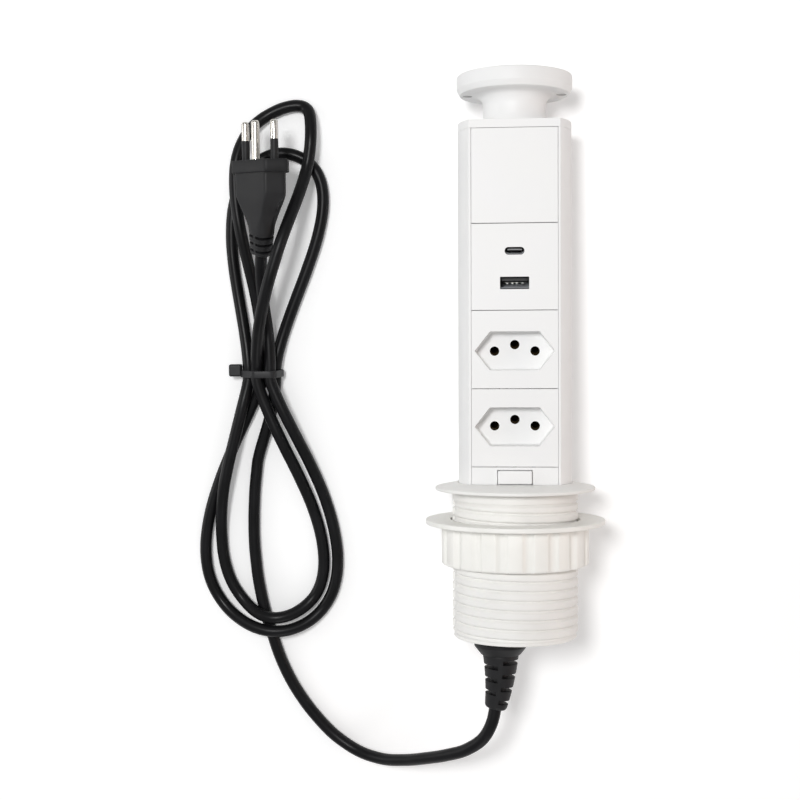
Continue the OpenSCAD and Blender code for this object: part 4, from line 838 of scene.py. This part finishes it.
# Radius that narrows along the relief, and that each slot takes down to the core on its own side of the spine
def makeRelief(look):
    length, step, spine = look["length"], 1 / look["steps"], math.radians(look["spine"])
    slots = [(1, (i + look["rightAt"]) * step) for i in range(look["steps"])]
    slots += [(-1, (i + look["leftAt"]) * step) for i in range(look["steps"] - 1)]
    half, (start, end, span) = look["slotWidth"] / 2 / length, look["slotWall"]
    walls = np.array([[at - half * end, at - half * start, at + half * start, at + half * end] for _, at in slots])
    share = np.unique(np.concatenate([np.linspace(0, 1 - look["endRound"] / length, 60), walls.ravel()]))
    radius = look["startRadius"] + (look["endRadius"] - look["startRadius"]) * share
    turn = np.linspace(0, math.pi / 2, 9)[1:]
    endShare = 1 - look["endRound"] / length * (1 - np.sin(turn))
    endRadius = look["endRadius"] - look["endRound"] * (1 - np.cos(turn))
    share, radius = np.append(share, endShare), np.append(radius, endRadius)
    edges = np.array([spine - 0.05, spine - 0.01, spine + 0.03, spine + 0.09])
    angles = anglesWith(96, np.concatenate([edges, -edges, math.pi + edges, math.pi - edges]))
    reach = np.repeat(radius[:, None], len(angles), axis=1)
    for side, at in slots:
        across = 1 - smoothStep((np.abs(share - at) / half - start) / span)
        aside = np.where(np.sin(angles) * side > 0, np.abs(np.sin(angles)), -1)
        around = smoothStep((aside - math.sin(spine)) / look["spineSoft"])
        depth = across[:, None] * around[None, :]
        reach = np.minimum(reach, radius[:, None] + (look["coreRadius"] - radius[:, None]) * depth)
    # Gland: a flange and a cone before the relief, and the bore's end behind it
    head = roundCorners([[look["boreRadius"], look["top"]], [look["flangeRadius"], look["top"]],
                         [look["flangeRadius"], look["top"] - look["flangeHeight"]],
                         [look["startRadius"] + 0.3, reliefTop]], [0.05, 0.5, 1.2, 0.9], 6)
    headShare, headReach = (reliefTop - head[:, 1]) / length, np.repeat(head[:, :1], len(angles), axis=1)
    back = np.array([1, 0, -(look["flangeHeight"] + look["coneHeight"]) / length])
    allShare = np.concatenate([headShare, share, back])
    allReach = np.concatenate([headReach, reach, np.full((3, len(angles)), look["boreRadius"])])
    centre, side = reliefFrame(allShare)
    outward = np.sin(angles)[:, None] * side[:, None] + np.cos(angles)[:, None] * np.array([0, -1, 0])
    return solid("strainRelief", centre[:, None] + allReach[..., None] * outward, "mouldedPvc", ring=True, sharp=40)


settle(makeRelief(relief), "tower", "black_rubber", "strain_relief")
print("strain relief made")

# Lead: its diameter, and the hank's tie place, plug place and strand places, all from the collar's underside
lead = {
    "diameter": 6.0, "tableGap": 0.05, "sides": 20, "ripple": 0.03, "cores": 3, "layLength": 55,
    "hankAt": (-127.4, 52.9, 0), "plugAt": (-122.6, 157.7, 24.8), "leadStep": (1.6, 13.5, 0),
    "inPulls": (10, 20), "outPull": 22, "outAside": 1.2,
}
cordZ = lead["diameter"] / 2 + lead["tableGap"]
freePoints = [(-15, -119.2, 49), (-23.6, -126.8, 45.2), (-34.2, -132.4, 38.4), (-45.2, -137.4, 29.8),
              (-56.6, -142, 20.4), (-68.6, -144.6, 12), (-80.8, -143, 6), (-92.8, -136.2, 3.4), (-104, -124.6, cordZ),
              (-113.5, -111, cordZ), (-120.3, -97.2, cordZ), (-125.2, -82.5, cordZ), (-129.4, -67.4, cordZ),
              (-131.8, -54.5, cordZ), (-133.2, -41.3, cordZ), (-133.7, -27.3, cordZ), (-133.2, -13.3, cordZ),
              (-132, 0, cordZ)]

# Hank: four teardrop loops hung from the tie, each with its length, two reaches, lean and two waist exponents
lowZ, midZ, highZ = 4.45, 6.4, 10.8
softStart = 0.035
sides = {"a": -6.7, "b": 0, "c": -1.8, "d": 4.9, "e": 6.7}
loops = [
    {"from": "e", "to": "a", "length": 109.8, "reach": (20.3, 17), "lean": 11.7, "waist": (2.2, 2.2),
     "heights": [(0, lowZ), (0.05, lowZ), (0.16, cordZ), (0.78, cordZ), (0.95, midZ), (1, midZ)]},
    {"from": "a", "to": "c", "length": -125.2, "reach": (-22.6, -26.6), "lean": 9, "waist": (1.8, 1.8),
     "heights": [(0, midZ), (0.035, midZ), (0.13, 9.6), (0.22, 9.6), (0.32, cordZ), (0.4, cordZ), (0.5, 9.9),
                 (0.6, cordZ), (0.71, cordZ), (0.85, 10.6), (0.95, highZ), (1, highZ)]},
    {"from": "c", "to": "b", "length": 133.1, "reach": (13.2, 24.1), "lean": 20.3, "waist": (2.4, 3),
     "heights": [(0, highZ), (0.04, highZ), (0.215, 28), (0.235, 28), (0.35, 10), (0.37, 10), (0.49, cordZ),
                 (0.55, cordZ), (0.665, 9.8), (0.725, 9.8), (0.84, cordZ), (0.95, lowZ), (1, lowZ)]},
    {"from": "b", "to": "d", "length": -132.2, "reach": (-34.6, -30.8), "lean": 3.3, "waist": (1.55, 1.55),
     "heights": [(0, lowZ), (0.05, lowZ), (0.16, cordZ), (0.38, cordZ), (0.49, 9.9), (0.6, cordZ), (0.74, cordZ),
                 (0.88, 10.9), (0.95, highZ), (1, highZ)]},
]


# Height at each share of the way round, easing between the listed places
def climb(rows, u):
    places, heights = np.array(rows).T
    i = np.clip(np.searchsorted(places, u) - 1, 0, len(places) - 2)
    return heights[i] + (heights[i + 1] - heights[i]) * smoothStep((u - places[i]) / (places[i + 1] - places[i]))


# Teardrop: half a turn goes out to the loop's end and half a turn comes back, drawn in towards the tie
def teardrop(loop, u):
    run = (1 - np.cos(2 * math.pi * u)) / 2
    side = smoothStep((u - 0.4) / 0.2)
    k = loop["waist"][0] + (loop["waist"][1] - loop["waist"][0]) * side
    reach = loop["reach"][0] + (loop["reach"][1] - loop["reach"][0]) * side
    peak = (k + 1) / (k + 2)
    rise = np.maximum(np.sin(math.pi * u), 0) ** k
    belly = reach * np.sin(2 * math.pi * u) * rise / (2 * peak ** ((k + 1) / 2) * np.sqrt(1 - peak))
    leave = run * run / (run * run + softStart * softStart)
    start, end = sides[loop["from"]], sides[loop["to"]]
    shift = start + (end - start) * (u - np.sin(2 * math.pi * u) / (2 * math.pi))
    return np.stack([shift + loop["lean"] * run**1.5 + belly * leave, loop["length"] * run,
                     climb(loop["heights"], u)], axis=-1) + lead["hankAt"]


# Cubic run between two places with their pulls
def bezier(a, b, c, d, u):
    a, b, c, d = (np.asarray(point, float) for point in (a, b, c, d))
    u = u[:, None]
    return a * (1 - u) ** 3 + 3 * b * u * (1 - u) ** 2 + 3 * c * u * u * (1 - u) + d * u**3


# Smooth run through listed points: cubic pieces whose slopes are weighted by the distances to both neighbours
def throughPoints(points, steps):
    points = np.asarray(points, float)
    gaps = np.linalg.norm(np.diff(points, axis=0), axis=1)[:, None]
    slopes = np.diff(points, axis=0) / gaps
    inner = (slopes[:-1] * gaps[1:] + slopes[1:] * gaps[:-1]) / (gaps[:-1] + gaps[1:])
    slopes = np.concatenate([slopes[:1], inner, slopes[-1:]])
    u = np.arange(steps)[None, :, None] / steps
    a, b = points[:-1, None], points[1:, None]
    pullA, pullB = (slopes[:-1] * gaps)[:, None], (slopes[1:] * gaps)[:, None]
    cubic = (2 * u**3 - 3 * u**2 + 1) * a + (u**3 - 2 * u**2 + u) * pullA
    cubic = cubic + (3 * u**2 - 2 * u**3) * b + (u**3 - u**2) * pullB
    return np.concatenate([cubic.reshape(-1, 3), points[-1:]])


# Plug: its body, its slotted tail, the way it lies and its pins
plug = {
    "width": 36.0, "height": 16.8, "length": 33.0, "flange": 6.0, "flatShare": 0.62, "bodyShare": 0.88,
    "shoulder": 15.0, "neck": (15.0, 10.6), "sharpness": 60, "neckSharpness": 5, "droop": 24, "turn": 7, "roll": -33,
    "scoopAt": 23, "scoopLength": 5, "scoopSpread": 0.5, "scoopDepth": 1.6, "bendHalf": 3,
    "tail": 13.0, "tailEnd": (12.4, 8.8), "tailRound": 1, "slots": 3, "slotWidth": 1.1, "core": 3.8, "spine": 0.8,
    "spineSoft": 0.5, "slotWall": (0.9, 1.15, 0.25),  # Start, end and span, as shares of the slot's half width
    "pinDiameter": 4.0, "liveDiameter": 3.8, "pinLength": 19.0, "pinRoot": 6.0, "pinTip": 1.2, "pitch": 19.0,
    "earth": 3.0, "sleeveShare": 0.52, "sleeveWall": 0.15, "sleeveStart": 0.05, "sleeveProud": 0.05,
}
droop, sway = math.radians(plug["droop"]), math.radians(plug["turn"])
plugOut = np.array([-math.sin(sway) * math.cos(droop), -math.cos(sway) * math.cos(droop), -math.sin(droop)])
plugAt, hankAt = np.array(lead["plugAt"]), np.array(lead["hankAt"])
plugExit = plugAt - [0, plug["length"], 0] + plug["tail"] * plugOut


# The whole lead as one line: down from the relief, over the table, round the hank's loops and up to the plug
def leadRoute(fineness=8):
    centre, turn = reliefFrame(1.0)[0], math.radians(relief["turn"])
    start = layDown(centre) - [0, alongShift, 0]
    ahead = layDown(centre + np.array([-math.sin(turn), 0, -math.cos(turn)])) - layDown(centre)
    step = np.array(lead["leadStep"]) / np.linalg.norm(lead["leadStep"])
    free = np.concatenate([[start, start + lead["diameter"] * ahead], freePoints[:-1],
                           [freePoints[-1] - lead["diameter"] * step, freePoints[-1]]])
    count = 24 * fineness
    u = np.arange(count // 3) / (count // 3)
    a = np.array(freePoints[-1])
    b = a + lead["diameter"] * step
    tie = hankAt + [sides["e"], 0, lowZ]
    leadIn = bezier(b, b + lead["inPulls"][0] * step, tie - [0, lead["inPulls"][1], 0], tie, u)
    turns = [teardrop(loop, np.arange(count) / count) for loop in loops]
    last, end = hankAt + [sides["d"], 0, highZ], plugExit + lead["diameter"] * plugOut
    leadOut = bezier(last, last + [lead["outAside"], lead["outPull"], 0], end + lead["outPull"] * plugOut, end, u)
    freeRun = throughPoints(free, fineness)[:-1]
    return onTable(np.concatenate([freeRun, [a], leadIn, *turns, leadOut, [end, plugExit]]))


# Tube round a line: a faint ripple shows where the twisted cores lie under the jacket
def makeLead(look):
    route = leadRoute()
    ahead = np.gradient(route, axis=0)
    ahead /= np.linalg.norm(ahead, axis=1, keepdims=True)
    side = np.cross(ahead, [0, 0, 1])
    side /= np.linalg.norm(side, axis=1, keepdims=True)
    above = np.cross(side, ahead)
    travelled = np.concatenate([[0], np.cumsum(np.linalg.norm(np.diff(route, axis=0), axis=1))])
    angles = evenAngles(look["sides"])
    twist = 2 * math.pi * travelled[:, None] / look["layLength"]
    radius = look["diameter"] / 2 - look["ripple"] * (0.5 - 0.5 * np.cos(look["cores"] * (angles - twist)))
    rows = route[:, None] + radius[..., None] * (np.cos(angles)[:, None] * side[:, None]
                                                 + np.sin(angles)[:, None] * above[:, None])
    piece = solid("mainsLead", rows, "leadPvc", place=np.asarray, sharp=60)
    settle(piece, "tower", "black_rubber", "power_cord", "cord_hank")
    return piece, route, travelled[-1]


mainsLead, leadLine, leadLength = makeLead(lead)
print("lead made: %.0f mm" % leadLength)


# Rows turned about y by the plug's roll
def rollPlug(rows):
    roll = math.radians(plug["roll"])
    x, y, z = np.moveaxis(np.asarray(rows, float), -1, 0)
    return np.stack([x * math.cos(roll) + z * math.sin(roll), y, z * math.cos(roll) - x * math.sin(roll)], axis=-1)


# Rows made round y, rolled and moved to the plug's face
def placePlug(rows):
    return onTable(rollPlug(rows) + plugAt)


# Plug body: six-sided flange, then a body whose sides draw in to a neck, and a slotted tail with a round end
def makePlugBody(look):
    flange, length, slant = look["flange"], look["length"], look["flatShare"]
    full, neck, tailEnd = np.array([[look["width"], look["height"]], look["neck"], look["tailEnd"]])
    face = np.array([(0.0, 0.97), (0.12, 0.985), (0.5, 1), (flange - 0.5, 1), (flange - 0.1, 0.985), (flange, 0.95),
                     (flange + 0.05, 0.9), (flange + 0.4, look["bodyShare"])])
    body = np.linspace(flange + 1, length, 44)
    draw = smoothStep((body - look["shoulder"]) / (length - look["shoulder"]))[:, None]
    # Tail: rows past the neck, with rows close together at the walls of each slot
    half, (start, end, span) = look["slotWidth"] / 2, look["slotWall"]
    slots = (np.arange(look["slots"]) + 0.75) * (look["tail"] / (look["slots"] + 0.5))
    walls = np.add.outer(slots, [-half * end, -half * start, half * start, half * end]).ravel()
    tail = np.unique(np.concatenate([np.linspace(0.4, look["tail"] - look["tailRound"], 30), walls]))
    turn = np.linspace(0, math.pi / 2, 6)[1:]
    shrink = np.append(np.zeros(len(tail)), look["tailRound"] * (1 - np.cos(turn)))[:, None]
    tail = np.append(tail, look["tail"] - look["tailRound"] + look["tailRound"] * np.sin(turn))
    along = np.concatenate([face[:, 0], body, length + tail])
    sizes = np.concatenate([face[:, 1:] * full, full * look["bodyShare"] * (1 - draw) + neck * draw,
                            neck + (tailEnd - neck) * (tail / look["tail"])[:, None] - 2 * shrink])
    sharpness = look["sharpness"] * (1 - draw[:, 0]) + look["neckSharpness"] * draw[:, 0]
    sharpness = np.concatenate([np.full(len(face), look["sharpness"]), sharpness,
                                np.full(len(tail), look["neckSharpness"])])
    angles = evenAngles(144)
    radius = np.stack([facetRadius(angles, *sixSides(width, height, slant), power)
                       for (width, height), power in zip(sizes, sharpness)])
    past = along - length
    inSlot = (1 - smoothStep((np.abs(past[:, None] - slots) / half - start) / span)).max(1)
    besideSpine = smoothStep((np.abs(np.cos(angles)) * tailEnd[0] / 2 - look["spine"]) / look["spineSoft"])
    radius = radius + (np.minimum(look["core"], radius) - radius) * inSlot[:, None] * besideSpine[None, :]
    # Finger scoops on both slanting sides, where the body draws in
    scoop = np.exp(-(((along - look["scoopAt"]) / look["scoopLength"]) ** 2))[:, None]
    scoop = scoop * np.exp(-((np.abs(np.sin(angles)) / look["scoopSpread"]) ** 2))[None, :]
    return radius - look["scoopDepth"] * scoop, along, angles


# Outlines set round a line that runs straight, curves as a square round the neck, and goes on as the tail droops
def plugRows(look, radius, along, angles):
    neck, half, straight = look["length"], look["bendHalf"], np.array([0, -1, 0])
    u = np.clip((along - neck + half) / (2 * half), 0, 1)[:, None]
    flat = np.stack([radius * np.cos(angles), 0 * radius, radius * np.sin(angles)], axis=-1)
    x, _, z = np.moveaxis(rollPlug(flat), -1, 0)
    tip, swing = droop * smoothStep(u), -sway * smoothStep(u)
    y = -z * np.sin(tip)
    turnedRows = np.stack([x * np.cos(swing) - y * np.sin(swing), x * np.sin(swing) + y * np.cos(swing),
                           z * np.cos(tip)], axis=-1)
    curve = (1 - u) ** 2 * (straight * (neck - half)) + 2 * u * (1 - u) * (straight * neck)
    curve = curve + u**2 * (straight * neck + half * plugOut)
    centre = np.where((along < neck - half)[:, None], straight * along[:, None], curve)
    centre = np.where((along > neck + half)[:, None], straight * neck + plugOut * (along - neck)[:, None], centre)
    return centre[:, None] + turnedRows


plugBody = solid("plugBody", plugRows(plug, *makePlugBody(plug)) + plugAt, "mouldedPvc", place=onTable, sharp=40)
settle(plugBody, "tower", "black_plastic", "plug_body")


# Pins: a turned profile along y with a domed tip, at its place in the plug's face
def pinRows(profile, x, z, count=40):
    profile = np.asarray(profile, float)
    angles = evenAngles(count)
    return np.stack([x + profile[:, :1] * np.cos(angles), np.repeat(profile[:, 1:], count, axis=1),
                     z + profile[:, :1] * np.sin(angles)], axis=-1)


# Quarter circle that rounds a pin's tip
def domedTip(radius, length, tip):
    turn = np.linspace(0, math.pi / 2, 8)
    return np.stack([radius - tip + tip * np.cos(turn), length - tip + tip * np.sin(turn)], axis=-1)


# Joins several closed solids into one piece
def joinSolids(name, parts):
    with bpy.context.temp_override(active_object=parts[0], selected_editable_objects=parts):
        bpy.ops.object.join()
    parts[0].name = parts[0].data.name = name
    return parts[0]


# Pins: profiles turned round y. A live pin is narrower where its black sleeve fills it up
def makePins(look):
    live, earth = look["liveDiameter"] / 2, look["pinDiameter"] / 2
    length, root, start = look["pinLength"], -look["pinRoot"], look["sleeveStart"]
    end, neck, proud = length * look["sleeveShare"], live - 2 * look["sleeveWall"], live + look["sleeveProud"]
    liveProfile = np.concatenate([[[0, root], [live, root], [live, start], [neck, start], [neck, end], [live, end]],
                                  domedTip(live, length, look["pinTip"]), [[0, length]]])
    earthProfile = np.concatenate([[[0, root], [earth, root]], domedTip(earth, length, look["pinTip"]),
                                   [[0, length]]])
    sleeveProfile = roundCorners(rectangle(neck, start, proud, end), [0.01, 0.01, 0.12, 0.01], 4)
    places = (-look["pitch"] / 2, look["pitch"] / 2)
    livePins = joinSolids("plugLivePins", [solid("livePin", pinRows(liveProfile, x, 0), "nickelPins",
                                                 place=placePlug) for x in places])
    sleeves = joinSolids("plugPinSleeves", [solid("pinSleeve", pinRows(sleeveProfile, x, 0), "mouldedPvc",
                                                  place=placePlug, ring=True) for x in places])
    earthPin = solid("plugEarthPin", pinRows(earthProfile, 0, look["earth"]), "nickelPins", place=placePlug)
    settle(livePins, "tower", "nickel_brass", "plug_live_pins")
    settle(sleeves, "tower", "black_plastic", "plug_pin_sleeves")
    settle(earthPin, "tower", "nickel_brass", "plug_earth_pin")
    return [livePins, sleeves, earthPin]


plugPins = makePins(plug)
print("plug made")

# Tie: a strap pulled round the five strands, with its head at the left
tie = {
    "strands": [(-6.7, 6.4), (0, 4.45), (-1.8, 10.8), (4.9, 10.8), (6.7, 4.45)], "slack": 0.12, "width": 3.6,
    "thickness": 1.1, "edge": 0.35, "head": (6.4, 6.1, 5.0), "headShift": 1.7, "headHeight": 7.0, "headOver": 0.9,
    "headEdge": 0.9,
}


# Strap: in each direction its inner side rests on the strand that reaches out farthest
def makeTie(look):
    strands, width = np.array(look["strands"], float), look["width"]
    angles = evenAngles(180)
    out = np.stack([np.cos(angles), np.sin(angles)], axis=-1)
    farthest = strands[(out @ strands.T).argmax(1)]
    path = farthest + out * (lead["diameter"] / 2 + look["slack"])
    section = roundCorners(rectangle(0, -width / 2, look["thickness"], width / 2), [look["edge"]] * 4, 4)
    across = path[:, None] + section[None, :, :1] * out[:, None]
    rows = np.stack([across[..., 0], np.broadcast_to(section[:, 1], across.shape[:2]), across[..., 1]], axis=-1)
    strap = solid("cableTieStrap", rows + hankAt, "tieNylon", place=onTable, ring=True, sharp=50)
    left, at, middle = path[:, 0].min() - look["thickness"], look["headShift"], look["headHeight"]
    (sizeX, sizeY, sizeZ), over = look["head"], look["headOver"]
    box = boxRows([left - sizeX + over, at - sizeY / 2, middle - sizeZ / 2],
                  [left + over, at + sizeY / 2, middle + sizeZ / 2])
    head = solid("tieHead", box + hankAt, "tieNylon", place=onTable, sharp=None)
    return strap, softenEdges(head, look["headEdge"], 4)


tieStrap, tieHead = makeTie(tie)
settle(tieStrap, "tower", "black_plastic", "cable_tie")
settle(tieHead, "tower", "black_plastic", "cable_tie")
print("tie made")

# CAD nodes that keep their own shape, with their finishes
keptNodes = {
    "friction_ring": "ringRubber", "knob_screw": "zincSteel",
    # The port shells take tinned steel painted dark, as a painted reflection of the port's inside
    "usb_a_shell": "tinnedSteelPaintedReflection", "usb_a_tongue": "tongueBlack", "usb_c_shell": "tinnedSteelPaintedReflection",
    "usb_c_tongue": "tongueGrey", "usb_board": "boardEpoxy", "usb_transformer": "windingTape",
    "usb_capacitors": "capacitorSleeve",
    "upper_socket_block": "warmPolypropylene", "lower_socket_block": "warmPolypropylene",
    # The contacts and bars take brass painted near black, as painted shade deep in the pin holes
    "upper_contacts": "brassInPaintedShade", "lower_contacts": "brassInPaintedShade",
    "line_bar": "brassInPaintedShade", "neutral_bar": "brassInPaintedShade", "earth_bar": "brassInPaintedShade",
    "bottom_cap": "whiteAbs", "cap_screws": "zincSteel", "cord_clamp": "warmPolypropylene",
    "clamp_screws": "zincSteel", "line_wire": "coreBrown", "neutral_wire": "coreBlue", "earth_wire": "coreGreen",
    "cord_inlet": "leadPvc",
}
for name, look in keptNodes.items():
    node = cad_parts[name]
    node.data.materials.clear()
    node.data.materials.append(finish[look])
print("kept nodes finished:", len(keptNodes))

# Studio: a white table under a pale sky, a soft lamp high at the upper left and three weak lamps lower down
studio = {
    "table": "#FFFFFF", "tableSize": 4.0, "sky": "#FFFFFF", "skyStrength": 0.38, "tableGlow": 0.14,
    "lamps": [{"name": "softLamp", "place": (-0.2, 0.3, 1.2), "aim": (-0.03, 0, 0.03), "size": 0.26, "power": 7.4,
               "colour": "#FFFFFF"},
              {"name": "leftFill", "place": (-1.1, 0.1, 0.35), "aim": (0, 0, 0.03), "size": 0.6, "power": 2.0,
               "colour": "#FFFFFF"},
              {"name": "warmFill", "place": (1.1, -0.1, 0.35), "aim": (0, 0, 0.03), "size": 0.6, "power": 1.8,
               "colour": "#FFDCCB"},
              {"name": "lowFill", "place": (0.1, -1.1, 0.5), "aim": (0, 0, 0.03), "size": 0.6, "power": 1.5,
               "colour": "#FFFFFF"}],
}


# The table gives a little light of its own, which only the camera sees
def setStudio(look):
    half = look["tableSize"] / 2
    mesh = bpy.data.meshes.new("whiteTable")
    mesh.from_pydata([(-half, -half, 0), (half, -half, 0), (half, half, 0), (-half, half, 0)], [], [(0, 1, 2, 3)])
    table = bpy.data.objects.new("whiteTable", mesh)
    bpy.context.scene.collection.objects.link(table)
    paper = bpy.data.materials.new("tablePaper")
    paper.use_nodes = True
    tree = paper.node_tree
    shader = tree.nodes["Principled BSDF"]
    shader.inputs["Base Color"].default_value = hexColour(look["table"])
    shader.inputs["Roughness"].default_value = 1
    shader.inputs["Specular IOR Level"].default_value = 0
    shader.inputs["Emission Color"].default_value = hexColour(look["table"])
    rays = addNode(tree, "ShaderNodeLightPath")
    glow = addNode(tree, "ShaderNodeMath", {"operation": "MULTIPLY"}, {0: rays.outputs["Is Camera Ray"]})
    glow.inputs[1].default_value = look["tableGlow"]
    tree.links.new(glow.outputs[0], shader.inputs["Emission Strength"])
    mesh.materials.append(paper)
    world = bpy.data.worlds.new("paleSky")
    world.use_nodes = True
    sky = world.node_tree.nodes["Background"]
    sky.inputs["Color"].default_value = hexColour(look["sky"])
    sky.inputs["Strength"].default_value = look["skyStrength"]
    bpy.context.scene.world = world
    for lampLook in look["lamps"]:
        lamp = bpy.data.lights.new(lampLook["name"], "AREA")
        lamp.shape, lamp.size, lamp.energy = "DISK", lampLook["size"], lampLook["power"]
        lamp.color = hexColour(lampLook["colour"])[:3]
        lampObject = bpy.data.objects.new(lampLook["name"], lamp)
        bpy.context.scene.collection.objects.link(lampObject)
        place, aim = Vector(lampLook["place"]), Vector(lampLook["aim"])
        turn = (aim - place).to_track_quat("-Z", "Y").to_matrix().to_4x4()
        lampObject.matrix_world = Matrix.Translation(place) @ turn


setStudio(studio)
bpy.context.scene.view_settings.view_transform = "Standard"
print("studio set")
